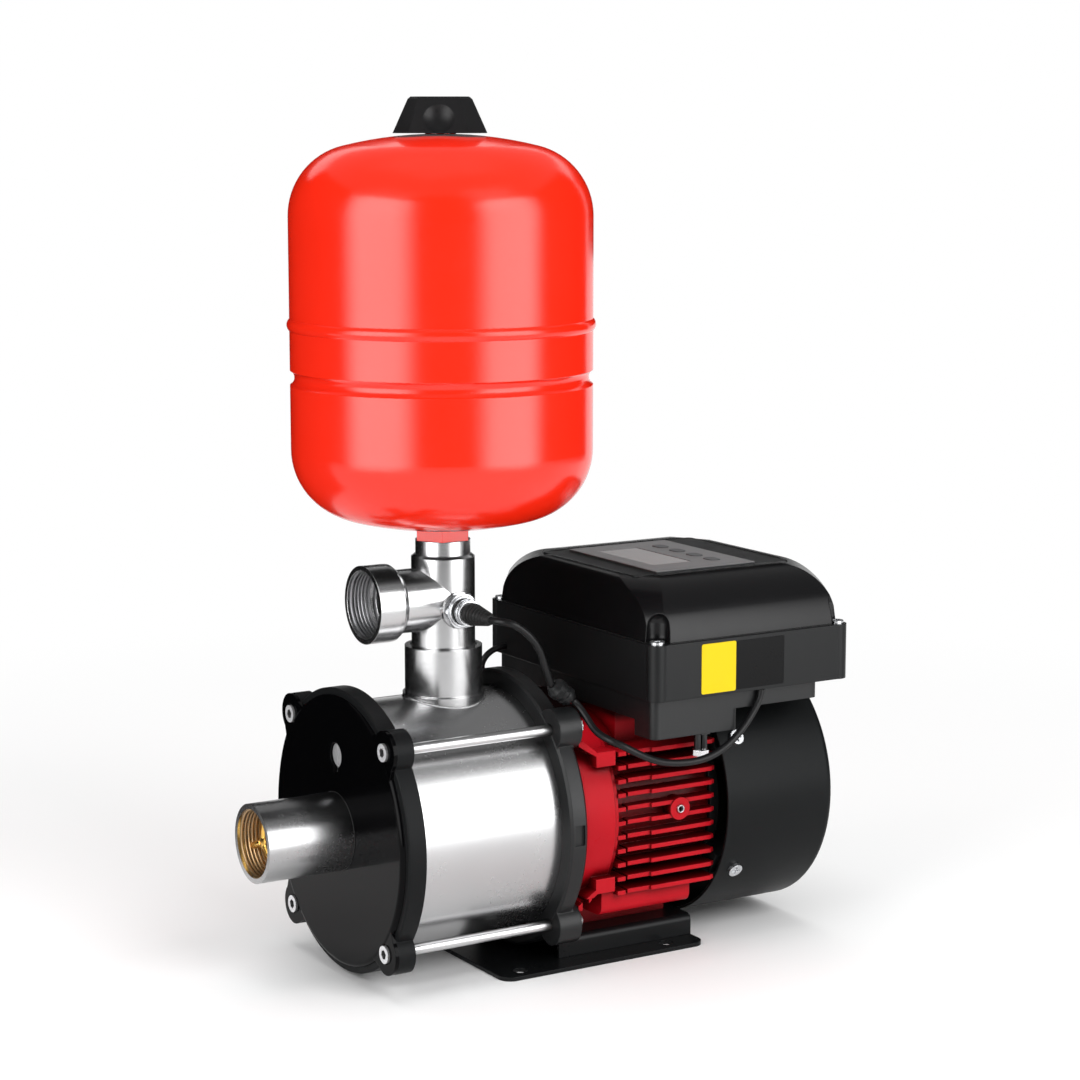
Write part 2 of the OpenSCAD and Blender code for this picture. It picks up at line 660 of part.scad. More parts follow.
// Deep drawn cowl with a grille of ring slots in its end
module fan_cowl() color("#1a1b1d") on_axis() difference() {
    turned() difference() {
        cowl_outline(cowl_r, cowl_x, end_x, cowl_corner);
        cowl_outline(cowl_r - cowl_t, cowl_x - 1, end_x - cowl_t, cowl_corner - cowl_t);
    }
    difference() {
        for (r = [14 : 9 : 68]) ring_x(end_x - 3, end_x + 1, r + 2.6, r - 2.6);
        for (a = [0 : 60 : 120]) rotate([a, 0, 0]) translate([end_x - 4, -2.5, -cowl_r])
            cube([6, 5, 2 * cowl_r]);
    }
    at_ears() translate([ear_x, 0, body_r + 4]) cylinder(h = cowl_r - body_r, r = 2.8);
}
// Half of the cowl's section, with a round corner at its end
module cowl_outline(r, x0, x1, k) {
    translate([0, x0]) square([r, x1 - k - x0]);
    translate([0, x0]) square([r - k, x1 - x0]);
    translate([r - k, x1 - k]) circle(k);
}
module cowl_screws() color("silver") on_axis() at_ears() translate([ear_x, 0, 0]) difference() {
    union() {
        translate([0, 0, body_r + 8]) cylinder(h = cowl_r - body_r - 8, r = 2.5);
        translate([0, 0, cowl_r]) cylinder(h = 2.4, r = 4.6);
    }
    translate([-0.5, -3, cowl_r + 1.4]) cube([1, 6, 2]);
    translate([-3, -0.5, cowl_r + 1.4]) cube([6, 1, 2]);
}

// Controller

module controller_base() color("#1c1d20") on_axis() difference() {
    union() {
        block(box_x0 + 3.2, deep_x1, -in_y, in_y, deep_z, frame_z - 0.1, 5);
        block(box_x0 + 3.2, shallow_x1, -in_y, in_y, deep_z + 13, frame_z - 0.1, 5);
        block(box_x0 + in_x, shallow_x1, -in_y, in_y, frame_z - 1, floor_top, 5);
        block(box_x0 + in_x, box_x1 - in_x, -in_y, in_y, floor_z, floor_top, 5);
    }
    at_lid_screws() translate([0, 0, frame_z - 0.2]) cylinder(h = frame_h, r = 6.3 + gap);
    bar_x(deep_x1 - 5, box_x1 + 1, cowl_r + 2);
    translate([box_x0 - 1, -motor_half - 2, 0]) cube([deep_x1 - box_x0, 2 * motor_half + 4, pad_z]);
    translate([box_x0 + in_x + 3, -in_y + 3, floor_top - 2.5])
        cube([deep_x1 - box_x0 - 9.2, 2 * in_y - 6, 10]);
    for (s = [-1, 1]) translate([box_x0 + 6.2, s * (in_y - 9) - 6, deep_z + 3])
        cube([deep_x1 - box_x0 - 9.2, 12, 40]);
    translate([box_x0 + 12, -38, deep_z + 2.5]) cube([36, 76, 40]);
    translate([gland_x, -gland_y, deep_z - 1]) cylinder(h = 5, r = 4.1 + slip);
}

module frame_outline(inset) round_rect(box_x0 + inset, box_x1 - inset, -box_w / 2 + inset,
    box_w / 2 - inset, max(6 - inset, 1));
module at_lid_screws() for (x = [box_x0 + corner_in, box_x1 - corner_in], s = [-1, 1])
    translate([x, s * (box_w / 2 - corner_in), 0]) children();

module controller_frame() color("#1c1d20") on_axis() difference() {
    translate([0, 0, frame_z]) linear_extrude(frame_h) {
        difference() {
            frame_outline(0);
            frame_outline(wall);
        }
        at_lid_screws() circle(6.3);
    }
    at_lid_screws() translate([0, 0, frame_top - 22]) cylinder(h = 23, r = 1.8 + slip);
    at_lid_screws() translate([0, 0, frame_top - 1.6]) cylinder(h = 3, r = 4.8);
    bar_x(deep_x1, box_x1 + 1, cowl_r + 2);
}

// Flat ring under the lid's rim, which passes inside the corner screws
module lid_gasket() color("#0d0d0e") on_axis() translate([0, 0, frame_top])
    linear_extrude(lid_z - frame_top) difference() {
    union() {
        difference() {
            frame_outline(1.6);
            frame_outline(4.6);
        }
        intersection() {
            frame_outline(1.6);
            at_lid_screws() circle(pocket_r + 2.2);
        }
    }
    at_lid_screws() circle(pocket_r);
}

// Lid body: arched sides, leaning ends and upright round corners, with every corner arched too
module lid_form(inset, top) {
    side = lid_in + inset;
    clear = side - 0.5;
    intersection() {
        along_x(box_x0 + side, box_x1 - side) arch(box_w / 2 - side, lid_side_r, top);
        across(-box_w / 2, box_w / 2) translate([box_mid, 0]) leaning(box_l / 2 - side, lid_end_r, top);
        block(box_x0 + clear, box_x1 - clear, -box_w / 2 + clear, box_w / 2 - clear,
            lid_z - 1, lid_top + 1, lid_corner_r - inset);
        corner_arch(lid_skew, inset, top);
        corner_arch(-lid_skew, inset, top);
    }
}
module corner_arch(a, inset, top) translate([box_mid, 0, 0]) rotate([0, 0, a])
    along_x(-box_l, box_l) arch(lid_reach - inset, lid_side_r, top);
// Ends that lean in by the same angle, with a round edge that touches the flat top
module leaning(half, r, top) {
    a = atan(lid_lean / lid_h);
    cx = half - (r + (top - lid_z - r) * sin(a)) / cos(a);
    tx = cx + (r - 0.1) * cos(a);
    tz = top - r + (r - 0.1) * sin(a);
    polygon([[-half, lid_z], [half, lid_z], [tx, tz], [cx, top - r], [cx, top],
        [-cx, top], [-cx, top - r], [-tx, tz]]);
    for (s = [-1, 1]) translate([s * cx, top - r]) circle(r);
}
module arch(half, r, top) {
    translate([-half + r, lid_z]) square([2 * (half - r), top - lid_z]);
    if (top - r > lid_z) translate([-half, lid_z]) square([2 * half, top - r - lid_z]);
    for (s = [-1, 1]) translate([s * (half - r), top - r]) intersection() {
        circle(r);
        translate([-r - 1, max(lid_z - top + r, -r)]) square([2 * r + 2, 2 * r]);
    }
}
module controller_lid() color("#101113") on_axis() difference() {
    union() {
        difference() {
            lid_form(0, lid_top);
            difference() {
                translate([0, 0, -0.1]) lid_form(2.6, lid_top - panel_d - 2.4);
                at_lid_screws() translate([0, 0, lid_z - 1]) cylinder(h = 12, r = pocket_r + 2.2);
                at_lid_screws() translate([0, 0, lid_z + 11]) sphere(pocket_r + 2.2);
            }
        }
        at_display_posts() cylinder(h = lid_top - panel_d - 2 - board_z - 1.6, r = 3);
    }
    translate([0, 0, lid_top - panel_d]) linear_extrude(10) panel_outline(0);
    at_buttons() translate([0, 0, board_z]) cylinder(h = 20, r = 1.7);
    at_lid_screws() translate([0, 0, lid_z - 1]) cylinder(h = 12, r = pocket_r);
    at_lid_screws() translate([0, 0, lid_z + 11]) sphere(pocket_r);
}
module panel_outline(inset) round_rect(panel_x0 + inset, panel_x1 - inset, -panel_y + inset,
    panel_y - inset, 4 - inset);

module lid_screws() color("silver") on_axis() at_lid_screws() difference() {
    union() {
        translate([0, 0, frame_top - 20]) cylinder(h = 19, r = 1.8);
        translate([0, 0, frame_top - 1.6]) cylinder(h = 3.4, r = 4.5);
    }
    translate([0, 0, frame_top + 0.6]) cylinder(h = 3, r = 2, $fn = 6);
}

// Display

module at_buttons() for (k = [0 : 3]) translate([button_x, (k - 1.5) * button_pitch, 0]) children();
module at_display_posts() for (x = [panel_x0 + 6, panel_x1 - 6], y = [-44, 44])
    translate([x, y, board_z + 1.6]) children();

module display_panel() color("#84878b") on_axis() difference() {
    union() {
        translate([0, 0, lid_top - panel_d]) linear_extrude(panel_d - 0.2) panel_outline(gap);
        translate([box_x0 + 31.7, -50, lid_top - 0.4]) cube([73, 100, 0.9]);
    }
    at_buttons() translate([0, 0, lid_top - 3]) linear_extrude(10) oval(button_l + 0.6, button_w + 0.6);
    translate([window_x0, window_y0, lid_top - panel_d + 0.6])
        cube([window_x1 - window_x0, window_y1 - window_y0, 10]);
}
module oval(l, w) {
    translate([-w / 2, -(l - w) / 2]) square([w, l - w]);
    for (s = [-1, 1]) translate([0, s * (l - w) / 2]) circle(w / 2);
}
module display_window() color("#9fa5a6") on_axis()
    translate([window_x0 + 0.2, window_y0 + 0.2, lid_top - panel_d + 0.6])
    cube([window_x1 - window_x0 - 0.4, window_y1 - window_y0 - 0.4, panel_d - 0.4]);

module button(k) color("#74777b") on_axis() translate([button_x, (k - 1.5) * button_pitch, 0]) {
    translate([0, 0, lid_top - panel_d + button_travel + 0.1]) linear_extrude(1.5) oval(button_l, button_w);
    translate([0, 0, board_z + 3.2 + button_travel])
        cylinder(h = lid_top - panel_d - board_z - 2.9, r = 1.4);
}
module button_1() button(0);
module button_2() button(1);
module button_3() button(2);
module button_4() button(3);

module display_board() color("#1f5b3a") on_axis() {
    translate([panel_x0 + 1, -50, board_z]) cube([panel_x1 - panel_x0 - 2, 100, 1.6]);
    at_buttons() translate([-3, -3, board_z + 1.5]) cube([6, 6, 1.6]);
}

module power_board() color("#1f5b3a") on_axis() {
    translate([box_x0 + 16, -66, power_z]) cube([106, 132, 1.8]);
    for (x = [box_x0 + 22, box_x0 + 112], y = [-58, 58]) translate([x, y, floor_top])
        cylinder(h = power_z - floor_top, r = 3);
    for (k = [0 : 2]) translate([box_x0 + 32 + 22 * k, -38, power_z + 1.7]) cylinder(h = 26, r = 9);
    translate([box_x0 + 30, 8, power_z + 1.7]) cube([30, 34, 18]);
    translate([box_x0 + 72, 12, power_z + 1.7]) cube([16, 28, 15]);
}

// Glands

module cable_glands() color("#202124") on_axis() translate([gland_x, -gland_y, deep_z]) {
    translate([0, 0, -1.5]) cylinder(h = 4.2, r = 4.1);
    translate([0, 0, -2]) cylinder(h = 2, r = 6.2, $fn = 6);
    for (x = [-2.3, 2.3]) translate([x, 0, -13]) cylinder(h = 12, r = 2.1);
    translate([0, 0, -15.6]) cylinder(h = 3.6, r = 5.4, $fn = 6);
}

module motor_lead() color("#131416") on_axis() tube(motor_route, motor_lead_d, 2, 8);

// Tee and sensor

module tee() color("#cfd1d4") on_axis() difference() {
    translate([tee_x, 0, 0]) union() {
        translate([0, 0, stub_top - 14]) cylinder(h = 13.5, r = thread_r - 0.1);
        translate([0, 0, stub_top - 2]) cylinder(h = outlet_z + 27.2 - stub_top, r = tee_r);
        translate([0, 0, outlet_z + 25.2]) cylinder(h = 1.5, r1 = tee_r, r2 = tee_r - 2);
        translate([0, 0, outlet_z]) cylinder(h = tee_top - outlet_z, r = tee_r - 2.6);
        at_outlet() cylinder(h = outlet_l - 15, r = tee_r - 0.1);
        at_outlet() rotate_extrude() polygon([[0, outlet_l - 20.5], [tee_r + 0.4, outlet_l - 20.5],
            [port_r - 1.6, outlet_l - 18.2], [port_r - 0.4, outlet_l - 16.4], [port_r - 0.2, outlet_l - 14],
            [port_r - 0.2, outlet_l], [0, outlet_l]]);
        translate([0, 0, sensor_z]) rotate([90, 0, 0]) cylinder(h = 20, r = 11);
    }
    translate([tee_x, 0, 0]) {
        translate([0, 0, stub_top - 20]) cylinder(h = tee_top - stub_top + 21, r = 13.5);
        translate([0, 0, tee_top - 14]) cylinder(h = 20, r = 13.6);
        at_outlet() cylinder(h = outlet_l + 1, r = 15);
        at_outlet() translate([0, 0, outlet_l - outlet_thread_l])
            cylinder(h = outlet_thread_l + 1, r = thread_r);
        translate([0, 0, sensor_z]) rotate([90, 0, 0]) cylinder(h = 30, r = 5);
    }
}
module at_outlet() translate([0, 0, outlet_z]) rotate([0, -90, 0]) children();

module pressure_sensor() color("#c5c8cb") on_axis() translate([tee_x, 0, sensor_z]) rotate([90, 0, 0]) {
    translate([0, 0, 14]) cylinder(h = 8, r = 5 - slip);
    translate([0, 0, 20]) cylinder(h = 4, r = 11.5, $fn = 6);
    translate([0, 0, 24]) cylinder(h = 1.5, r = 9.5);
    translate([0, 0, 25.5]) cylinder(h = 2, r = 8);
    translate([0, 0, 27.5]) cylinder(h = 5.5, r = 7.8);
    rotate_extrude() {
        translate([0, 33]) polygon([[0, 0], [6.5, 0], [6.2, 3], [4, 24], [0, 24]]);
        for (k = [0 : 5]) translate([6.4 - 0.32 * k, 36 + 3 * k]) circle(0.7, $fn = 16);
    }
}

module sensor_lead() color("#131416") on_axis() tube(sensor_route, sensor_d, 2, 8);

// Plug and socket where the sensor's own lead meets the controller's
module lead_connector() color("#1a1b1d") on_axis() along(sensor_route[9], sensor_route[11]) difference() {
    rotate_extrude() polygon([[0, 0], [plug_r - 2.4, 0], [plug_r - 0.6, 3], [plug_r, 3.4], [plug_r, 8],
        [plug_r - 0.8, 8.4], [plug_r - 0.8, 11], [plug_r - 0.2, 11.4], [plug_r - 0.2, 15],
        [plug_r - 2.4, 18], [0, 18]]);
    translate([0, 0, -1]) cylinder(h = 20, r = sensor_d / 2 + 0.5);
}
// Places a piece drawn along Z at point p, with its length towards point q
module along(p, q) {
    v = unit(q - p);
    translate(p) rotate([0, acos(v.z), atan2(v.y, v.x)]) children();
}

// Tank

// Outline of a tank end: knuckle radius, crown radius, and a straight side
module tank_outline(inset) {
    r = tank_r - inset;
    k = knuckle_r - inset;
    c = crown_r - inset;
    rise = sqrt(pow(c - k, 2) - pow(r - k, 2));
    z0 = tank_z + inset;
    z1 = tank_z + tank_h - inset;
    low = z0 + c - rise;
    high = z1 - c + rise;
    touch = c * (r - k) / (c - k);
    translate([0, low]) square([r, high - low]);
    for (z = [low, high]) translate([r - k, z]) intersection() {
        circle(k);
        translate([touch - r + k - 1, -k]) square([k, 2 * k]);
    }
    intersection() {
        translate([0, z1 - c]) circle(c, $fn = 180);
        translate([0, high - k]) square([touch, z1 - high + k + 1]);
    }
    intersection() {
        translate([0, z0 + c]) circle(c, $fn = 180);
        translate([0, z0 - 1]) square([touch, low - z0 + k]);
    }
}
// Shell with a raised weld seam and a rolled groove, its nipple, and the air valve on top
module tank_shell() color("#d8261c") on_axis() translate([tee_x, 0, 0]) difference() {
    union() {
        rotate_extrude() difference() {
            union() {
                tank_outline(0);
                intersection() {
                    translate([tank_r + bead_out - bead_r, bead_z]) circle(bead_r);
                    translate([tank_r - 1, bead_z - bead_r]) square([bead_r, 2 * bead_r]);
                }
            }
            difference() {
                tank_outline(tank_t);
                translate([tank_r + groove_r - groove_d, groove_z]) circle(groove_r + tank_t);
            }
            translate([tank_r + groove_r - groove_d, groove_z]) circle(groove_r);
        }
        translate([0, 0, tee_top]) cylinder(h = tank_z + 1 - tee_top, r = 17.6, $fn = 6);
        translate([0, 0, tee_top - 12]) cylinder(h = 14, r = 13.5 - slip);
        translate([0, 0, tank_z + tank_h - 1.2]) cylinder(h = 3.2, r = 9);
        translate([0, 0, tank_z + tank_h]) cylinder(h = 13, r = 4);
    }
    translate([0, 0, tee_top - 13]) cylinder(h = 24, r = 9);
}
module tank_diaphragm() color("#1d1d1f") on_axis() translate([tee_x, 0, 0]) rotate_extrude()
    difference() {
    intersection() {
        translate([0, bead_z]) circle(tank_r - tank_t - gap, $fn = 120);
        translate([0, bead_z - 100]) square([tank_r, 102]);
    }
    translate([0, bead_z]) circle(tank_r - tank_t - 2.5, $fn = 120);
}

// Cap over the air valve: a tapered square with a finger scoop in each side
module valve_cap() color("#17181a") on_axis() translate([tee_x, 0, cap_z]) rotate([0, 0, -31.4])
    difference() {
    intersection() {
        cap_wedge(cap_foot, cap_top, 0);
        cap_wedge(cap_foot, cap_top, 90);
        cap_wedge(cap_foot + 4.3, cap_top + 3.5, 45);
        cap_wedge(cap_foot + 4.3, cap_top + 3.5, 135);
    }
    for (a = [0 : 90 : 270]) rotate([0, 0, a]) translate([cap_foot + 5, 0, 12]) sphere(13);
    translate([0, 0, -1]) cylinder(h = 16, r = 10);
}
// Two sloping flanks of the cap: half width at the foot and at the top
module cap_wedge(foot, top, a) rotate([0, 0, a]) translate([0, 40, 0]) rotate([90, 0, 0]) linear_extrude(80)
    polygon([[-foot, 0], [foot, 0], [top + 0.6, cap_h - 1.4], [top - 1, cap_h], [-top + 1, cap_h],
        [-top - 0.6, cap_h - 1.4]]);

base_plate();
foot_channel();
foot_bolts();
front_cover();
suction_port();
check_valve_cage();
check_valve_poppet();
check_valve_spring();
vent_plug();
tie_bolts();
barrel();
barrel_seals();
discharge_port();
diffuser_1();
diffuser_2();
diffuser_3();
diffuser_4();
impeller_1();
impeller_2();
impeller_3();
impeller_4();
spacer_sleeves();
shaft();
impeller_nut();
seal_ring();
seal_seat();
rear_bracket();
motor_housing();
stator_core();
stator_windings();
rotor_core();
bearing_outer_rings();
bearing_inner_rings();
bearing_balls();
end_shield();
fan();
fan_cowl();
cowl_screws();
controller_base();
controller_frame();
lid_gasket();
controller_lid();
lid_screws();
display_panel();
display_window();
button_1();
button_2();
button_3();
button_4();
display_board();
power_board();
cable_glands();
motor_lead();
tee();
pressure_sensor();
sensor_lead();
lead_connector();
tank_shell();
tank_diaphragm();
valve_cap();
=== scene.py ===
# %% [markdown]
# # A booster pump with a pressure tank
# The frame holds every piece that carries load: barrel, covers, motor, controller, tee and tank.
# This script gives those pieces their finishes, makes the small things that only show up close
# (threads, weld ripples, ridges on a strain relief), and lights the whole like a catalogue picture.
# Lengths are in metres. -X points out of the suction port and +Z is up.

# %% Load the frame
import math
import bmesh
import bpy
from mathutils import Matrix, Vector


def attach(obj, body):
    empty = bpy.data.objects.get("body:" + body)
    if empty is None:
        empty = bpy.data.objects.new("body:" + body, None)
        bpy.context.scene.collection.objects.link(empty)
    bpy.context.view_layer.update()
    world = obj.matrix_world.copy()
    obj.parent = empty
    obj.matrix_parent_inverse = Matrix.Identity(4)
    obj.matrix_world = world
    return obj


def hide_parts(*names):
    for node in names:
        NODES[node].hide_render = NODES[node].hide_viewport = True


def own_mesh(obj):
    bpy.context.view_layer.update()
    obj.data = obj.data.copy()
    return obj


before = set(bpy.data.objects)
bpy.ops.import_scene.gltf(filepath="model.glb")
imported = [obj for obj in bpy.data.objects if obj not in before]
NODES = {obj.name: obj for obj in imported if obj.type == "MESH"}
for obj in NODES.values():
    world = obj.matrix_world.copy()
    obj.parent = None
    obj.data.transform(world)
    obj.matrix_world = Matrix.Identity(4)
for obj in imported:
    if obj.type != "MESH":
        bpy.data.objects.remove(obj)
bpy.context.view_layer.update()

print("pieces in the frame:", len(NODES))

# %% [markdown]
# Sizes on a pump are easiest to give along its shaft. This helper takes millimetres from the front
# face of the pump cover, across the shaft and above the shaft, and gives a point of the frame,
# whose origin is on the floor, some way behind that face.

# %% Shaft coordinates
SHAFT_HEIGHT = 0.088
ORIGIN_BEHIND_COVER = 0.145
# the tee's axis, in millimetres behind the cover's face
TEE = 73.17
ALONG = {"X": Vector((1, 0, 0)), "-X": Vector((-1, 0, 0)), "-Y": Vector((0, -1, 0))}


def on_shaft(x, y, z):
    return Vector((x / 1000 - ORIGIN_BEHIND_COVER, y / 1000, z / 1000 + SHAFT_HEIGHT))


print("tee axis at", on_shaft(TEE, 0, 0)[:])

# %% [markdown]
# ## The camera
# The catalogue picture looks down a little at the pump from its suction end. The lens is long, so
# the barrel's edges stay nearly parallel.

# %% Camera
LENS_LENGTH, FILM_WIDTH = 89.466, 36
CAMERA_PLACE = (-0.844693, -1.380922, 0.505667)
CAMERA_TURN, CAMERA_TILT = 1.0239, 0.1563


def make_camera():
    """The turn counts from +X towards +Y and the tilt downwards, both in radians."""
    data = bpy.data.cameras.new("catalogue_lens")
    data.lens = LENS_LENGTH
    data.sensor_width = FILM_WIDTH
    data.clip_end = 30
    camera = bpy.data.objects.new("catalogue_camera", data)
    camera.location = CAMERA_PLACE
    level = math.cos(CAMERA_TILT)
    gaze = Vector((math.cos(CAMERA_TURN) * level, math.sin(CAMERA_TURN) * level, -math.sin(CAMERA_TILT)))
    camera.rotation_euler = gaze.to_track_quat("-Z", "Y").to_euler()
    bpy.context.scene.collection.objects.link(camera)
    bpy.context.scene.camera = camera
    return camera


CAMERA = make_camera()
print("camera", CAMERA.location[:])

# %% [markdown]
# ## Making meshes
# Each new piece is drawn by a small builder, cleaned (doubles merged, normals turned out), and put
# on the body that stays still. Two builders do most of the work: a tube swept along a route, and a
# turned profile, which can also be cut to a hexagon like the head of a bolt.

# %% New piece, tube and turned profile
SHARP_ANGLE = math.radians(40)


def new_object(name, mesh_builder, material, replaced=()):
    mesh = bpy.data.meshes.new(name)
    bm = bmesh.new()
    mesh_builder(bm)
    bmesh.ops.remove_doubles(bm, verts=bm.verts, dist=1e-7)
    bmesh.ops.recalc_face_normals(bm, faces=bm.faces)
    bm.to_mesh(mesh)
    bm.free()
    return settle(name, mesh, material, replaced)


def settle(name, mesh, material, replaced):
    """Put a finished mesh on the pump's body and shade it smooth, apart from its sharp edges."""
    piece = bpy.data.objects.new(name, mesh)
    bpy.context.scene.collection.objects.link(piece)
    if material is not None:
        mesh.materials.clear()
        mesh.materials.append(material)
    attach(piece, "pump")
    if replaced:
        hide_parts(*replaced)
    for face in mesh.polygons:
        face.use_smooth = True
    mesh.set_sharp_from_angle(angle=SHARP_ANGLE)
    print(name, len(mesh.polygons), "faces")
    return piece


def skin(bm, rings, caps=True):
    """Faces between each ring of points and the next, and a cap on both ends."""
    sides = len(rings[0])
    for lower, upper in zip(rings, rings[1:]):
        for k in range(sides):
            bm.faces.new((lower[k], lower[(k + 1) % sides], upper[(k + 1) % sides], upper[k]))
    if caps:
        bm.faces.new(rings[0])
        bm.faces.new(rings[-1])


def across(way):
    """Two directions square to a way."""
    side = Vector((0, 0, 1)) if abs(way.z) < 0.7 else Vector((0, 1, 0))
    side = (side - side.dot(way) * way).normalized()
    return side, way.cross(side)


def angles(count):
    """So many angles, evenly round a circle."""
    return [2 * math.pi * k / count for k in range(count)]


def tube(bm, points, radius, sides=16):
    """A round tube along points, with rings that never twist."""
    side = across((points[1] - points[0]).normalized())[0]
    rings = []
    for i, p in enumerate(points):
        way = (points[min(i + 1, len(points) - 1)] - points[max(i - 1, 0)]).normalized()
        side = (side - side.dot(way) * way).normalized()
        other = way.cross(side)
        rings.append([bm.verts.new(p + radius * (math.cos(a) * side + math.sin(a) * other))
                      for a in angles(sides)])
    skin(bm, rings)


def turned(bm, base, way, profile, sides=48, flats=0.0, closed=False):
    """Rings of (distance, radius) in millimetres from base along way. Radii over flats (half the
    width across flats) are cut to a hexagon. A closed profile makes a ring instead of a plug."""
    side, other = across(way)
    rings = []
    for distance, radius in profile:
        ring = []
        for a in angles(sides):
            r = radius
            if flats:
                r = min(radius, flats / math.cos((a + math.pi / 6) % (math.pi / 3) - math.pi / 6))
            ring.append(bm.verts.new(base + (distance * way
                                             + r * (math.cos(a) * side + math.sin(a) * other)) / 1000))
        rings.append(ring)
    if closed:
        rings.append(rings[0])
    skin(bm, rings, not closed)


def ring_profile(distance, radius, thickness, steps=10):
    """The round section of a ring or a bead, as a closed profile."""
    return [(distance + thickness * math.cos(a), radius + thickness * math.sin(a)) for a in angles(steps)]


print("builders ready")

# %% [markdown]
# ## Cords
# The sensor lead leaves the pressure sensor, bends over the bracket, passes a plug connector and
# swings under the controller. A cord is one smooth tube along listed points, so it is made
# here as a mesh swept along a Catmull-Rom curve: rings that never twist, with more sides than CAD.

# %% Sensor lead
def curve_points(route, steps):
    """A smooth curve through every point of the route, cut into so many steps for each stretch."""
    out = []
    for i in range(len(route) - 1):
        a, b, c, d = (route[max(i - 1, 0)], route[i], route[i + 1], route[min(i + 2, len(route) - 1)])
        for k in range(steps):
            t = k / steps
            out.append(0.5 * (2 * b + (c - a) * t + (2 * a - 5 * b + 4 * c - d) * t ** 2
                              + (3 * b - a - 3 * c + d) * t ** 3))
    out.append(route[-1].copy())
    return out


def length_of(points):
    return sum((b - a).length for a, b in zip(points, points[1:]))


SENSOR_LEAD_DIAMETER = 0.0044
SENSOR_ROUTE = [on_shaft(*p) for p in (
    (TEE, -57.1, 129), (74.17, -62, 129), (77.17, -66, 128.7), (82.17, -68.5, 127), (88.17, -69, 123),
    (94.17, -69.5, 117), (99.17, -69, 109.5), (103, -67.5, 101), (107, -65, 94), (111, -62.5, 87.5),
    (118, -61.9, 82.9), (125, -61.5, 77.1), (128.8, -63.5, 73.2), (131, -68.5, 67.5), (132, -74.5, 62),
    (133, -80.7, 58.7), (135.5, -89, 56), (141, -93.5, 53), (148, -95.7, 49), (157, -96.2, 44.5),
    (168, -96.2, 40.5), (181, -96.2, 38.5), (194, -96.2, 38.5), (206, -95.7, 41), (217, -94.7, 46),
    (227, -93.7, 53.5), (235, -93.2, 62.5), (240, -93, 70.5), (241, -93, 76))]
SENSOR_POINTS = curve_points(SENSOR_ROUTE, 5)
sensor_lead = new_object("sensor_lead_jacket", lambda bm: tube(bm, SENSOR_POINTS, SENSOR_LEAD_DIAMETER / 2),
                         None, replaced=["sensor_lead"])
print("sensor lead", round(length_of(SENSOR_POINTS), 4), "m")

# %% Motor lead, held at both ends
MOTOR_LEAD_DIAMETER = 0.004
MOTOR_ROUTE = [on_shaft(*p) for p in (
    (161.5, 76, 82), (156.7, 76, 81.5), (151.7, 76.5, 80), (147.2, 77, 76.5), (144.7, 77.5, 71.5),
    (145, 77.5, 66), (144.5, 77, 60), (144, 76.5, 54), (143, 76, 48), (141.5, 75.5, 42),
    (140, 74.5, 36), (138.5, 73.5, 30.5), (137, 72, 26), (135.5, 70, 22))]
MOTOR_POINTS = curve_points(MOTOR_ROUTE, 4)
motor_lead = new_object("motor_lead_jacket", lambda bm: tube(bm, MOTOR_POINTS, MOTOR_LEAD_DIAMETER / 2),
                        None, replaced=["motor_lead"])
print("motor lead", round(length_of(MOTOR_POINTS), 4), "m")

# %% [markdown]
# ## Wiring nodes
# Stage, finishes and Geometry Nodes are all trees of nodes. They could be built one line for each
# node, value and link. Here one call makes a node and gives its inputs, each a plain value or the
# output of another node, so that a tree reads from its start to its end like a recipe.

# %% Helpers for node trees
def feed(tree, fed, inputs):
    """Give inputs, by name or number, a value or the output that drives them."""
    for place, value in inputs.items():
        if isinstance(value, bpy.types.NodeSocket):
            tree.links.new(value, fed.inputs[place])
        else:
            fed.inputs[place].default_value = value


def node(tree, kind, inputs=None, **settings):
    made = tree.nodes.new(kind)
    for setting, value in settings.items():
        setattr(made, setting, value)
    feed(tree, made, inputs or {})
    return made


def maths(tree, operation, *values):
    """The result of a sum."""
    return node(tree, "ShaderNodeMath", dict(enumerate(values)), operation=operation).outputs[0]


def ramp(tree, value, start=0.0, end=1.0, low=0.0, high=1.0, kind="LINEAR"):
    """Runs from low to high while the value runs from start to end."""
    return node(tree, "ShaderNodeMapRange",
                {"Value": value, "From Min": start, "From Max": end, "To Min": low, "To Max": high},
                interpolation_type=kind).outputs[0]


def mixed(tree, factor, first, second, kind="FLOAT"):
    """A mix of two numbers, or of two colours where kind is RGBA."""
    if kind == "RGBA":
        first, second = [c if isinstance(c, bpy.types.NodeSocket) else (*c, 1) for c in (first, second)]
    a, b, result = (6, 7, 2) if kind == "RGBA" else (2, 3, 0)
    return node(tree, "ShaderNodeMix", {0: factor, a: first, b: second}, data_type=kind).outputs[result]


def object_place(tree):
    """Object coordinates, which stay with a piece as it moves."""
    return node(tree, "ShaderNodeTexCoord").outputs["Object"]


print("node helpers ready")

# %% [markdown]
# ## The studio
# A pale floor and a white surround. Two tall soft panels, which fade towards their sides, give the
# wide vertical highlights that a glossy tank shows. Black flags between and beside them keep black
# paint black, and a dim grey ceiling does that for faces that look up. Panels, flags and ceiling
# are seen by reflections only, so they don't wash out the colours; plain area lamps, which
# reflections don't see, do the lighting.

# %% Stage materials
PANEL_WIDTH = 1.55
PANEL_CORE = 0.35
PANEL_RIM_GLOW = 0.2
FLOOR_GREY = 0.93
FLOOR_FADE = (0.25, 1.1)
SURROUND_ON_MATTE, SURROUND_SEEN = 0.5, 1.0


def empty_material(name):
    mat = bpy.data.materials.new(name)
    mat.use_nodes = True
    mat.node_tree.nodes.clear()
    return mat, mat.node_tree


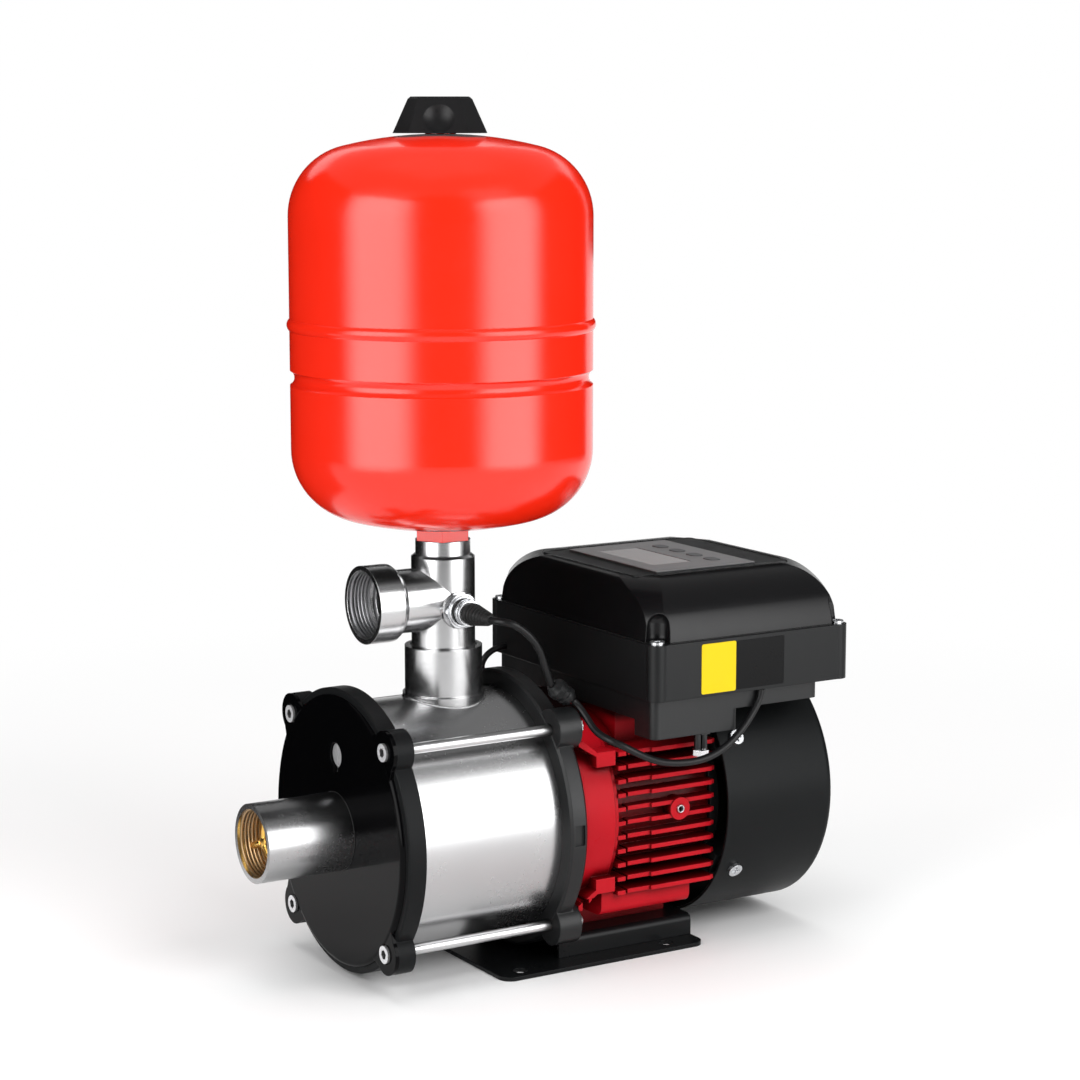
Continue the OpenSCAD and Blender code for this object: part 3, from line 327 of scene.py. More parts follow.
def stage_material(name, colour, glow=0.0):
    """One even colour: matte, or lit where it has a glow."""
    mat, tree = empty_material(name)
    shader = node(tree, "ShaderNodeEmission" if glow else "ShaderNodeBsdfDiffuse", {"Color": (*colour, 1)})
    if glow:
        feed(tree, shader, {"Strength": glow})
    node(tree, "ShaderNodeOutputMaterial", {"Surface": shader.outputs[0]})
    return mat


def panel_material(name, glow, width):
    """Lit evenly in its core and fading towards its upright sides, so that its reflections have
    soft edges."""
    mat, tree = empty_material(name)
    half = width / 2
    aside = maths(tree, "ABSOLUTE", node(tree, "ShaderNodeSeparateXYZ", {0: object_place(tree)}).outputs["X"])
    strength = ramp(tree, aside, PANEL_CORE * half, half, glow, PANEL_RIM_GLOW, kind="SMOOTHSTEP")
    shader = node(tree, "ShaderNodeEmission", {"Color": (1, 1, 1, 1), "Strength": strength})
    node(tree, "ShaderNodeOutputMaterial", {"Surface": shader.outputs[0]})
    return mat


def seen_by(tree, *rays):
    """1 for the named kinds of ray, 0 for the rest."""
    path = node(tree, "ShaderNodeLightPath")
    out = path.outputs[rays[0]]
    for ray in rays[1:]:
        out = maths(tree, "MAXIMUM", out, path.outputs[ray])
    return out


def floor_material():
    """Matte near the pump, so that it keeps the shadow, and plain white further out."""
    mat, tree = empty_material("pale_floor")
    away = node(tree, "ShaderNodeVectorMath", {0: object_place(tree)}, operation="LENGTH")
    fade = ramp(tree, away.outputs["Value"], *FLOOR_FADE, kind="SMOOTHSTEP")
    share = maths(tree, "MULTIPLY", fade, seen_by(tree, "Is Camera Ray", "Is Glossy Ray"))
    matte = node(tree, "ShaderNodeBsdfDiffuse", {"Color": (FLOOR_GREY, FLOOR_GREY, FLOOR_GREY, 1)})
    white = node(tree, "ShaderNodeEmission")
    both = node(tree, "ShaderNodeMixShader", {0: share, 1: matte.outputs[0], 2: white.outputs[0]})
    node(tree, "ShaderNodeOutputMaterial", {"Surface": both.outputs[0]})
    return mat


def build_world():
    """White where it is looked at or mirrored, and a softer light on matte surfaces."""
    world = bpy.data.worlds.new("surround")
    bpy.context.scene.world = world
    world.use_nodes = True
    tree = world.node_tree
    tree.nodes.clear()
    looks = seen_by(tree, "Is Camera Ray", "Is Transmission Ray", "Is Glossy Ray")
    strength = ramp(tree, looks, low=SURROUND_ON_MATTE, high=SURROUND_SEEN)
    back = node(tree, "ShaderNodeBackground", {"Color": (1, 1, 1, 1), "Strength": strength})
    node(tree, "ShaderNodeOutputWorld", {"Surface": back.outputs[0]})


print("panels", PANEL_WIDTH, "m wide, floor white beyond", FLOOR_FADE[1], "m")


# %% Cards and lamps
def card(name, centre, target, width, height, material):
    mesh = bpy.data.meshes.new(name)
    w, h = width / 2, height / 2
    mesh.from_pydata([(-w, -h, 0), (w, -h, 0), (w, h, 0), (-w, h, 0)], [], [(0, 1, 2, 3)])
    mesh.materials.append(material)
    obj = bpy.data.objects.new(name, mesh)
    obj.location = centre
    obj.rotation_euler = (Vector(target) - Vector(centre)).to_track_quat("Z", "Y").to_euler()
    bpy.context.scene.collection.objects.link(obj)
    return obj


def only_in_reflections(obj):
    obj.visible_camera = False
    obj.visible_diffuse = False
    obj.visible_shadow = False
    obj.visible_transmission = False


def polar(azimuth, distance, height):
    """A place round the pump: azimuth 0 is where the camera stands, positive to its right."""
    a = math.atan2(CAMERA.location.y, CAMERA.location.x) + math.radians(azimuth)
    return Vector((distance * math.cos(a), distance * math.sin(a), height))


def screen(name, azimuth, distance, width, low, high, material):
    """An upright card that faces the pump and shows in reflections only."""
    middle = (low + high) / 2
    only_in_reflections(card(name, polar(azimuth, distance, middle), (0, 0, middle), width, high - low,
                             material))


def lamp(name, centre, target, size, power):
    """A square area lamp, in watts, that shows in no reflection."""
    data = bpy.data.lights.new(name, "AREA")
    data.shape = "RECTANGLE"
    data.size = data.size_y = size
    data.energy = power
    obj = bpy.data.objects.new(name, data)
    obj.location = centre
    obj.rotation_euler = (Vector(target) - Vector(centre)).to_track_quat("-Z", "Y").to_euler()
    obj.visible_glossy = False
    bpy.context.scene.collection.objects.link(obj)


print("card and lamp helpers ready")

# %% Floor, surround, panels, flags and lamps
card("floor", (0, 0, 0), (0, 0, 1), 12, 12, floor_material())
build_world()
bright = panel_material("panel_glow", 5.0, PANEL_WIDTH)
dark = stage_material("black_flag", (0.003, 0.003, 0.003))
grey = stage_material("grey_ceiling", (1, 1, 1), glow=0.28)
# name, azimuth, distance, width, lower edge, upper edge, material
for row in (("soft_panel_left", -45, 1.3, PANEL_WIDTH, 0.0, 1.15, bright),
            ("soft_panel_right", 52, 1.3, PANEL_WIDTH, 0.0, 1.15, bright),
            ("black_flag_front", 3, 1.45, 1.8, 0.0, 1.5, dark),
            ("black_flag_left", -104, 1.5, 1.7, 0.0, 1.5, dark),
            ("black_flag_right", 112, 1.5, 1.7, 0.0, 1.5, dark),
            ("black_flag_near", -117, 0.42, 0.62, 0.0, 0.6, dark),
            ("black_flag_behind", 180, 1.2, 1.7, 0.36, 0.95, dark)):
    screen(*row)
only_in_reflections(card("grey_ceiling", (0, 0, 1.7), (0, 0, 0), 4.0, 4.0, grey))
lamp("key", polar(42, 2.2, 1.7), (0, 0, 0.2), 1.4, 40)
lamp("fill", polar(-42, 2.4, 1.5), (0, 0, 0.25), 1.6, 26)
lamp("top", Vector((0, 0.1, 2.4)), (0, 0, 0.1), 1.6, 18)
bpy.context.scene.view_settings.view_transform = "Standard"
print("studio ready")

# %% [markdown]
# ## Shared effects
# Real finishes are never even. Two small node groups are used again and again: a soft grain that
# varies roughness and height, and a mask that finds edges, for wear and for a painted highlight. A
# third one splits a piece in two along an axis, for a casting that is machined on one side, a gland
# with a metal nut, and the motor's painted shade under the controller.

# %% Node groups
BROAD_TO_FINE = 0.06
GRAIN_SPREAD = (0.3, 0.7)
# the dot product of the rounded and the flat normal, where edge wear and painted highlight start and where
# they are full
EDGE_TURN = (0.98, 0.75)
WEAR_NOISE_SCALE, WEAR_PATCHES = 160, (0.42, 0.6)


def node_group(name, inputs, outputs, build):
    tree = bpy.data.node_groups.new(name, "ShaderNodeTree")
    for label, kind, value in inputs:
        socket = tree.interface.new_socket(name=label, in_out="INPUT", socket_type="NodeSocket" + kind)
        if value is not None:
            socket.default_value = value
    for label, kind in outputs:
        tree.interface.new_socket(name=label, in_out="OUTPUT", socket_type="NodeSocket" + kind)
    source = tree.nodes.new("NodeGroupInput")
    node(tree, "NodeGroupOutput", build(tree, source.outputs))
    return tree


def build_grain(tree, given):
    """Two sizes of noise, mixed: Value runs from Low to High, Height from 0 to 1."""
    fine = node(tree, "ShaderNodeTexNoise", {"Vector": given["Vector"], "Scale": given["Scale"], "Detail": 3})
    broad_scale = maths(tree, "MULTIPLY", given["Scale"], BROAD_TO_FINE)
    broad = node(tree, "ShaderNodeTexNoise", {"Vector": given["Vector"], "Scale": broad_scale, "Detail": 4})
    both = mixed(tree, 0.5, fine.outputs["Fac"], broad.outputs["Fac"])
    return {"Value": ramp(tree, both, *GRAIN_SPREAD, given["Low"], given["High"]),
            "Height": fine.outputs["Fac"], "Broad": broad.outputs["Fac"]}


GRAIN = node_group("soft_grain", [("Vector", "Vector", None), ("Scale", "Float", 300.0),
                                  ("Low", "Float", 0.3), ("High", "Float", 0.5)],
                   [("Value", "Float"), ("Height", "Float"), ("Broad", "Float")], build_grain)


def build_edges(tree, given):
    """White where the surface turns within Radius, broken up by noise."""
    rounded = node(tree, "ShaderNodeBevel", {"Radius": given["Radius"]}, samples=4).outputs[0]
    flat = node(tree, "ShaderNodeNewGeometry").outputs["Normal"]
    alike = node(tree, "ShaderNodeVectorMath", {0: rounded, 1: flat}, operation="DOT_PRODUCT")
    edge = ramp(tree, alike.outputs["Value"], *EDGE_TURN)
    noise = node(tree, "ShaderNodeTexNoise",
                 {"Vector": given["Vector"], "Scale": WEAR_NOISE_SCALE, "Detail": 4})
    patchy = maths(tree, "MULTIPLY", edge, ramp(tree, noise.outputs["Fac"], *WEAR_PATCHES))
    return {"Mask": maths(tree, "MULTIPLY", patchy, given["Amount"]), "Rounded normal": rounded}


EDGES = node_group("edge_wear_and_highlight_mask", [("Vector", "Vector", None), ("Radius", "Float", 0.0005),
                                  ("Amount", "Float", 0.3)],
                   [("Mask", "Float"), ("Rounded normal", "Vector")], build_edges)


def build_split(tree, given):
    """0 below Place along Axis, 1 above it, with a seam as wide as Blur."""
    along = node(tree, "ShaderNodeVectorMath", {0: given["Vector"], 1: given["Axis"]},
                 operation="DOT_PRODUCT")
    end = maths(tree, "ADD", given["Place"], given["Blur"])
    return {"Mask": ramp(tree, along.outputs["Value"], given["Place"], end)}


SPLIT = node_group("split_along_axis", [("Vector", "Vector", None), ("Axis", "Vector", (1, 0, 0)),
                                        ("Place", "Float", 0.0), ("Blur", "Float", 0.0002)],
                   [("Mask", "Float")], build_split)
print("node groups:", GRAIN.name, EDGES.name, SPLIT.name)

# %% [markdown]
# ## Finishes
# One function builds every finish on the Principled shader: base colour with a faint broad
# variation, roughness from the grain, bump from the grain, and a lighter tone on edges (wear on the
# brass, a painted highlight on the motor). Stretching the grain's coordinates makes fine lines that
# run one way, as on the tee and on the laminations. Ambient occlusion finds the grooves of a
# casting, where a darker colour is painted in as shade. The second half of a split piece has a
# colour, roughness and metal of its own.

# %% Finish builder
FINISHES = {}
# ambient occlusion for painted shade in grooves: how far it looks, and its samples
GROOVE_DEPTH, GROOVE_SAMPLES = 0.012, 6
# how open a place is where it counts as a full groove, and where it counts as no groove at all
GROOVE_SHADE = (0.45, 0.92)
# what edge wear and painted highlight add to the colour where no tone is given: times and plus
EDGE_WEAR_AND_HIGHLIGHT_LIFT = (1.6, 0.03)


def finish(name, colour, metallic=0.0, rough=(0.3, 0.4), scale=400.0, bump=0.05, stretch=(1, 1, 1),
           edge_wear_and_highlight=0.0, edge_wear_and_highlight_colour=None, radius=0.0005, vary=0.06, specular=0.5, anisotropic=0.0,
           distance=0.0004, tangent="X", split=None, groove_shade_colour=None):
    mat = bpy.data.materials.new(name)
    mat.use_nodes = True
    tree = mat.node_tree
    shader = tree.nodes["Principled BSDF"]
    place = object_place(tree)
    mapping = node(tree, "ShaderNodeMapping", {"Vector": place, "Scale": stretch})
    grain = node(tree, "ShaderNodeGroup", {"Vector": mapping.outputs[0], "Scale": scale,
                                           "Low": rough[0], "High": rough[1]}, node_tree=GRAIN)
    edges = node(tree, "ShaderNodeGroup", {"Vector": place, "Radius": radius, "Amount": edge_wear_and_highlight},
                 node_tree=EDGES)
    dim = [max(c * (1 - vary), 0) for c in colour]
    lit = [min(c * (1 + vary), 1) for c in colour]
    tone = mixed(tree, grain.outputs["Broad"], dim, lit, "RGBA")
    roughness = grain.outputs["Value"]
    relief = node(tree, "ShaderNodeBump", {"Strength": bump, "Distance": distance,
                                           "Height": grain.outputs["Height"]})
    if radius:
        feed(tree, relief, {"Normal": edges.outputs["Rounded normal"]})
    feed(tree, shader, {"Metallic": metallic, "Specular IOR Level": specular, "Normal": relief.outputs[0]})
    if split:
        half = node(tree, "ShaderNodeGroup", {"Vector": place, "Axis": split["axis"], "Place": split["place"],
                                              "Blur": split["blur"]}, node_tree=SPLIT).outputs["Mask"]
        tone = mixed(tree, half, tone, split["colour"], "RGBA")
        roughness = mixed(tree, half, roughness, split["rough"])
        if split["metallic"] != metallic:
            feed(tree, shader, {"Metallic": mixed(tree, half, metallic, split["metallic"])})
    # painted shade: where ambient occlusion finds a groove, the base colour turns towards the given dark
    # colour
    if groove_shade_colour:
        groove_occlusion = node(tree, "ShaderNodeAmbientOcclusion", {"Distance": GROOVE_DEPTH}, samples=GROOVE_SAMPLES)
        tone = mixed(tree, ramp(tree, groove_occlusion.outputs["AO"], *GROOVE_SHADE), groove_shade_colour, tone, "RGBA")
    # lighter edges: wear on the brass, a painted highlight on the motor's enamel
    edge_wear_and_highlight_tone = edge_wear_and_highlight_colour or [min(c * EDGE_WEAR_AND_HIGHLIGHT_LIFT[0] + EDGE_WEAR_AND_HIGHLIGHT_LIFT[1], 1) for c in colour]
    feed(tree, shader, {"Base Color": mixed(tree, edges.outputs["Mask"], tone, edge_wear_and_highlight_tone, "RGBA"),
                        "Roughness": roughness})
    if anisotropic:
        along = node(tree, "ShaderNodeTangent", direction_type="RADIAL", axis=tangent)
        feed(tree, shader, {"Anisotropic": anisotropic, "Tangent": along.outputs[0]})
    FINISHES[name] = mat
    return mat


def split_at(axis, place, colour, rough, metallic=0.0, blur=0.0002):
    return {"axis": axis, "place": place, "colour": colour, "rough": rough, "metallic": metallic,
            "blur": blur}


print("grooves are looked for within", GROOVE_DEPTH, "m")

# %% [markdown]
# Paints first. The tank has a bright powder coat. The motor has a deeper enamel with painted light
# and shade: a painted highlight lightens its edges, painted shade darkens the grooves of the casting,
# and it is painted nearly black where shade falls under the controller. The covers are gloss black
# on their machined faces and rougher on the cast rim, which starts a few millimetres behind the face.

# %% Paints
FACE_EDGE = on_shaft(2.6, 0, 0).x
# above this height the motor's enamel is painted nearly black, as painted shade under the controller
PAINTED_SHADE_ABOVE = on_shaft(0, 0, 54).z
tank_red = finish("tank_powder_coat", (0.94, 0.02, 0.004), rough=(0.15, 0.21), scale=350, bump=0.02,
                  vary=0.03, specular=0.55)
# painted light and shade on the enamel: lighter edges as a highlight, dark grooves and a near-black top as
# shade
motor_red = finish("motor_enamel", (0.5, 0.006, 0.014), rough=(0.26, 0.4), scale=500, bump=0.16,
                   edge_wear_and_highlight=0.3, edge_wear_and_highlight_colour=(0.72, 0.06, 0.07), radius=0.0009, vary=0.12, specular=0.1,
                   groove_shade_colour=(0.07, 0.0005, 0.001),
                   split=split_at((0, 0, 1), PAINTED_SHADE_ABOVE, (0.004, 0.001, 0.001), 0.4, blur=0.005))
cover_black = finish("cover_gloss_black", (0.0015, 0.0015, 0.0018), rough=(0.07, 0.11), scale=420,
                     bump=0.02, radius=0.0008, specular=0.07,
                     split=split_at((1, 0, 0), FACE_EDGE, (0.009, 0.0095, 0.01), 0.42))
bracket_black = finish("bracket_cast_black", (0.008, 0.0085, 0.009), rough=(0.34, 0.46), scale=520,
                       bump=0.12, radius=0.0008, specular=0.3)
sheet_black = finish("sheet_black", (0.006, 0.0065, 0.007), rough=(0.26, 0.34), scale=700, bump=0.04,
                     radius=0.0008, specular=0.15)
cowl_black = finish("cowl_satin_black", (0.0065, 0.0072, 0.0076), rough=(0.34, 0.42), scale=900,
                    bump=0.04, radius=0.001, specular=0.1)
cast_black = finish("cast_black", (0.008, 0.0085, 0.009), rough=(0.36, 0.48), scale=500, bump=0.15,
                    radius=0.0008, specular=0.35)
print("paints:", len(FINISHES))

# %% [markdown]
# Metals next. The barrel is rolled sheet and the port is turned steel. Both are smooth, and the
# Anisotropic setting draws out their highlights: a stretched grain put dark streaks there. The tee
# is a polished casting. The tie bolts have bright heads on satin bars, with a grey shade painted
# into their crevices. Screws are zinc plated, and the check valve is brass.

# %% Metals
HEAD_END = on_shaft(6, 0, 0).x
steel_barrel = finish("brushed_barrel", (0.5, 0.5, 0.505), metallic=1, rough=(0.25, 0.28), scale=450,
                      bump=0.006, vary=0.02, anisotropic=0.35, radius=0.0, distance=0.0001)
steel_port = finish("turned_steel", (0.44, 0.44, 0.445), metallic=1, rough=(0.25, 0.28), scale=450,
                    bump=0.006, vary=0.02, anisotropic=0.3, radius=0.0, distance=0.0001)
steel_tee = finish("machined_tee", (0.56, 0.56, 0.565), metallic=1, rough=(0.17, 0.27), scale=160,
                   bump=0.012, stretch=(1, 1, 6), anisotropic=0.25, tangent="Z", radius=0.0008,
                   distance=0.0002)
zinc = finish("zinc_plate", (0.66, 0.67, 0.69), metallic=1, rough=(0.2, 0.35), scale=700, bump=0.04)
# ambient occlusion paints a grey shade into the bolts' crevices, next to the barrel
tie_steel = finish("bright_heads_satin_bars", (0.78, 0.78, 0.8), metallic=0.4, rough=(0.25, 0.35),
                   scale=300, bump=0.04, distance=0.0001, groove_shade_colour=(0.1, 0.1, 0.1),
                   split=split_at((1, 0, 0), HEAD_END, (0.6, 0.6, 0.605), 0.33, 1.0))
plug_steel = finish("bright_plug", (0.5, 0.5, 0.51), metallic=0.5, rough=(0.3, 0.42), scale=500, bump=0.05)
inner_steel = finish("inner_steel", (0.6, 0.61, 0.63), metallic=1, rough=(0.25, 0.4), scale=300, bump=0.04)
thread_bronze = finish("suction_thread", (0.44, 0.29, 0.15), metallic=0.9, rough=(0.25, 0.4), scale=600,
                       bump=0.05)
thread_steel = finish("outlet_thread", (0.3, 0.3, 0.31), metallic=1, rough=(0.3, 0.42), scale=600,
                      bump=0.05)
brass = finish("turned_brass", (0.87, 0.52, 0.12), metallic=1, rough=(0.2, 0.32), scale=500, bump=0.05,
               edge_wear_and_highlight=0.3, edge_wear_and_highlight_colour=(0.95, 0.68, 0.28))
bearing = finish("bearing_steel", (0.75, 0.75, 0.77), metallic=1, rough=(0.06, 0.12), bump=0.01)
lamination = finish("laminations", (0.35, 0.36, 0.38), metallic=0.8, rough=(0.4, 0.5), scale=60,
                    stretch=(60, 1, 1))
copper = finish("enamelled_copper", (0.62, 0.24, 0.09), metallic=0.9, rough=(0.2, 0.35), scale=500, bump=0.2)
print("metals and paints:", len(FINISHES))

# %% [markdown]
# Mouldings last: rubber, cable jacket, the controller's fine-textured plastic, the display and
# the plain patches on its side. The gland's stems are black with a bright nut below, and the
# display panel's raised plate is grey with a black surround.

# %% Mouldings
NUT_TOP = on_shaft(0, 0, 40.6).z
PLATE_THICKNESS = 0.0006
PLATE = max(v.co.z for v in NODES["display_panel"].data.vertices) - PLATE_THICKNESS
rubber = finish("black_rubber", (0.008, 0.008, 0.008), rough=(0.5, 0.62), scale=900, bump=0.08,
                specular=0.35)
lead_black = finish("lead_jacket", (0.005, 0.005, 0.0055), rough=(0.32, 0.44), scale=1200, bump=0.06,
                    specular=0.25)
carbon = finish("carbon_face", (0.03, 0.03, 0.03), rough=(0.3, 0.4))
ceramic = finish("ceramic_face", (0.8, 0.78, 0.72), rough=(0.1, 0.2), bump=0.01)
box_black = finish("box_moulding", (0.009, 0.0095, 0.01), rough=(0.28, 0.36), scale=1400, bump=0.06,
                   radius=0.0008, specular=0.2)
lid_black = finish("lid_moulding", (0.0045, 0.0045, 0.005), rough=(0.2, 0.27), scale=1400, bump=0.04,
                   radius=0.0008, specular=0.24)
gland_black = finish("gland_with_bright_nut", (0.7, 0.7, 0.71), metallic=1, rough=(0.18, 0.28), scale=900,
                     bump=0.03, split=split_at((0, 0, 1), NUT_TOP, (0.008, 0.008, 0.009), 0.36))
panel_grey = finish("panel_plate_and_surround", (0.004, 0.004, 0.0045), rough=(0.3, 0.38), scale=900,
                    bump=0.02, specular=0.35,
                    split=split_at((0, 0, 1), PLATE, (0.17, 0.173, 0.176), 0.34, blur=0.0001))
display_glass = finish("display_window", (0.42, 0.43, 0.43), rough=(0.1, 0.14), bump=0.01, specular=0.4)
key_grey = finish("keypad_rubber", (0.1, 0.103, 0.106), rough=(0.4, 0.5), scale=900, bump=0.05,
                  specular=0.35)
board_green = finish("circuit_board", (0.01, 0.12, 0.05), rough=(0.25, 0.4), scale=300)
cap_black = finish("cap_moulding", (0.007, 0.007, 0.0075), rough=(0.34, 0.46), scale=1300, bump=0.1,
                   radius=0.001, specular=0.25)
patch_yellow = finish("yellow_patch_film", (0.8, 0.58, 0.004), rough=(0.3, 0.38), scale=1600, bump=0.02,
                      vary=0.02, specular=0.15)
patch_dark = finish("dark_patch_film", (0.0025, 0.0025, 0.0028), rough=(0.26, 0.34), scale=1600,
                    bump=0.03, specular=0.12)
print("finishes:", len(FINISHES))

# %% [markdown]
# A piece of the frame keeps its mesh and only gets a new material. The tank stays out of mirror
# reflections, because the polished steel around it is meant to show white and grey, and no red.

# %% Finishes on the frame's own pieces
def paint(mat, *names):
    for name in names:
        data = NODES[name].data
        data.materials.clear()
        data.materials.append(mat)


paint(tank_red, "tank_shell")
paint(motor_red, "motor_housing")
paint(cover_black, "front_cover")
paint(bracket_black, "rear_bracket")
paint(cast_black, "end_shield", "controller_base")
paint(sheet_black, "base_plate", "foot_channel")
paint(cowl_black, "fan_cowl")
paint(steel_barrel, "barrel")
paint(steel_port, "suction_port")
paint(steel_tee, "tee", "discharge_port", "pressure_sensor")
paint(tie_steel, "tie_bolts")
paint(plug_steel, "vent_plug")
paint(zinc, "foot_bolts", "cowl_screws", "lid_screws")
paint(inner_steel, *[f"{kind}_{i}" for kind in ("diffuser", "impeller") for i in (1, 2, 3, 4)],
      "shaft", "spacer_sleeves", "impeller_nut", "check_valve_spring")
paint(brass, "check_valve_cage")
paint(rubber, "check_valve_poppet", "barrel_seals", "lid_gasket", "tank_diaphragm")
paint(carbon, "seal_ring")
paint(ceramic, "seal_seat")
paint(lamination, "stator_core", "rotor_core")
paint(copper, "stator_windings")
paint(bearing, "bearing_outer_rings", "bearing_inner_rings", "bearing_balls")
paint(box_black, "fan", "controller_frame", "lead_connector")
paint(gland_black, "cable_glands")
paint(lid_black, "controller_lid")
paint(cap_black, "valve_cap")
paint(panel_grey, "display_panel")
paint(display_glass, "display_window")
paint(key_grey, "button_1", "button_2", "button_3", "button_4")
paint(board_green, "display_board", "power_board")
for lead in (sensor_lead, motor_lead):
    lead.data.materials.append(lead_black)
NODES["tank_shell"].visible_glossy = False
print("painted", len(NODES), "pieces")

# %% [markdown]
# ## What repeats: Geometry Nodes
# Threads, grip ridges and weld ripples each follow a rule, so each gets a small tree with named
# sizes. A thread is a round section swept along a spiral. Ridges are rings set along a line, each
# a little smaller than the last. A weld is a row of small drops along the curve where two tubes
# meet. The tree's result is taken as a plain mesh, and the holder with its modifier is removed.

# %% Growing helper
def growth_tree(name, sizes, build):
    tree = bpy.data.node_groups.new(name, "GeometryNodeTree")
    tree.interface.new_socket(name="Geometry", in_out="OUTPUT", socket_type="NodeSocketGeometry")
    for label, kind in {**sizes, "Place": "Vector", "Turn": "Vector", "Material": "Material"}.items():
        tree.interface.new_socket(name=label, in_out="INPUT", socket_type="NodeSocket" + kind)
    given = tree.nodes.new("NodeGroupInput").outputs
    real = node(tree, "GeometryNodeRealizeInstances", {0: build(tree, given)})
    move = node(tree, "GeometryNodeTransform", {"Geometry": real.outputs[0], "Translation": given["Place"],
                                                "Rotation": given["Turn"]})
    dress = node(tree, "GeometryNodeSetMaterial", {"Geometry": move.outputs[0],
                                                   "Material": given["Material"]})
    node(tree, "NodeGroupOutput", {"Geometry": dress.outputs[0]})
    return tree


def grow(name, tree, material, slot=None, replaced=(), **sizes):
    holder = bpy.data.objects.new(name + "_holder", bpy.data.meshes.new(name + "_seed"))
    bpy.context.scene.collection.objects.link(holder)
    modifier = holder.modifiers.new("growth", "NODES")
    modifier.node_group = tree
    wanted = {**sizes, "Material": material}
    for item in tree.interface.items_tree:
        if item.item_type == "SOCKET" and item.in_out == "INPUT" and item.name in wanted:
            modifier[item.identifier] = wanted[item.name]
    view = bpy.context.evaluated_depsgraph_get()
    mesh = bpy.data.meshes.new_from_object(holder.evaluated_get(view))
    holder.modifiers.clear()
    bpy.data.objects.remove(holder)
    mesh.name = name
    return settle(name, mesh, material, replaced)


print("growing helper ready")


# %% Thread tree and pipe threads
# millimetres from one ridge to the next, and the turn that lays an upright shape along the shaft
PITCH = 2.31
TO_SHAFT = (0, math.pi / 2, 0)


def build_thread(tree, given):
    spiral = node(tree, "GeometryNodeCurveSpiral",
                  {"Resolution": 48, "Rotations": given["Turns"], "Start Radius": given["Radius"],
                   "End Radius": given["Radius"], "Height": given["Length"]})
    section = node(tree, "GeometryNodeCurvePrimitiveCircle", {"Resolution": 8, "Radius": given["Thickness"]})
    return node(tree, "GeometryNodeCurveToMesh", {"Curve": spiral.outputs[0], "Fill Caps": True,
                                                  "Profile Curve": section.outputs[0]}).outputs[0]


THREAD = growth_tree("spiral_thread", {"Turns": "Float", "Radius": "Float", "Length": "Float",
                                       "Thickness": "Float"}, build_thread)


def pipe_thread(name, material, start, length):
    """The ridges of a pipe thread along the shaft, its length in millimetres."""
    grow(name, THREAD, material, slot="stainless", Radius=0.0201, Turns=length / PITCH,
         Length=length / 1000, Thickness=0.0008, Place=start, Turn=TO_SHAFT)


pipe_thread("suction_thread_ridges", thread_bronze, on_shaft(-54, 0, 0), 20)
pipe_thread("outlet_thread_ridges", thread_steel, on_shaft(20.2, 0, 134), 15)

# %% [markdown]
# The check valve's poppet leans on a coil spring, which gets shorter as the poppet lifts, so a stiff
# coil would be cut by the poppet. Here the coil is made at rest only, on a mesh of its own.

# %% Spring of the check valve
SPRING_START, SPRING_END, POPPET_LIFT = -23.2, -7.8, 8.0
SPRING_LENGTH = SPRING_END - SPRING_START
valve_spring = grow("check_valve_coil", THREAD, inner_steel, slot="shaft_steel",
                    replaced=["check_valve_spring"], Radius=0.007, Turns=5.0, Length=SPRING_LENGTH / 1000,
                    Thickness=0.0006, Place=on_shaft(SPRING_START, 0, 0), Turn=TO_SHAFT)
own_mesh(valve_spring)


# %% Ridge tree
def build_ridges(tree, given):
    gap = node(tree, "ShaderNodeCombineXYZ", {"Z": given["Spacing"]})
    line = node(tree, "GeometryNodeMeshLine", {"Count": given["Count"], "Offset": gap.outputs[0]})
    circle = node(tree, "GeometryNodeCurvePrimitiveCircle", {"Resolution": 40, "Radius": given["Radius"]})
    section = node(tree, "GeometryNodeCurvePrimitiveCircle",
                   {"Resolution": 10, "Radius": given["Thickness"]})
    ring = node(tree, "GeometryNodeCurveToMesh", {"Curve": circle.outputs[0],
                                                  "Profile Curve": section.outputs[0]})
    order = node(tree, "GeometryNodeInputIndex").outputs[0]
    last = maths(tree, "SUBTRACT", given["Count"], 1)
    shrink = ramp(tree, order, end=last, low=1, high=given["Last scale"])
    size = node(tree, "ShaderNodeCombineXYZ", {"X": shrink, "Y": shrink, "Z": 1})
    return node(tree, "GeometryNodeInstanceOnPoints", {"Points": line.outputs[0], "Instance": ring.outputs[0],
                                                       "Scale": size.outputs[0]}).outputs[0]


RIDGES = growth_tree("grip_ridges", {"Count": "Int", "Spacing": "Float", "Radius": "Float",
                                     "Thickness": "Float", "Last scale": "Float"}, build_ridges)
print("ridge tree:", RIDGES.name)


# %% Weld tree and the port's weld
def build_weld(tree, given):
    """Drops along the curve where an upright tube of radius Radius meets a barrel along X of radius
    Barrel: at y, the barrel's skin is at the square root of Barrel squared less y squared."""
    circle = node(tree, "GeometryNodeMeshCircle", {"Vertices": given["Count"], "Radius": given["Radius"]})
    where = node(tree, "GeometryNodeInputPosition").outputs[0]
    y = node(tree, "ShaderNodeSeparateXYZ", {0: where}).outputs["Y"]
    height = maths(tree, "SQRT", maths(tree, "SUBTRACT",
                                       maths(tree, "MULTIPLY", given["Barrel"], given["Barrel"]),
                                       maths(tree, "MULTIPLY", y, y)))
    rise = node(tree, "ShaderNodeCombineXYZ", {"Z": height})
    lift = node(tree, "GeometryNodeSetPosition", {"Geometry": circle.outputs[0], "Offset": rise.outputs[0]})
    drop = node(tree, "GeometryNodeMeshUVSphere", {"Segments": 8, "Rings": 6, "Radius": given["Drop"]})
    return node(tree, "GeometryNodeInstanceOnPoints", {"Points": lift.outputs[0],
                                                       "Instance": drop.outputs[0]}).outputs[0]


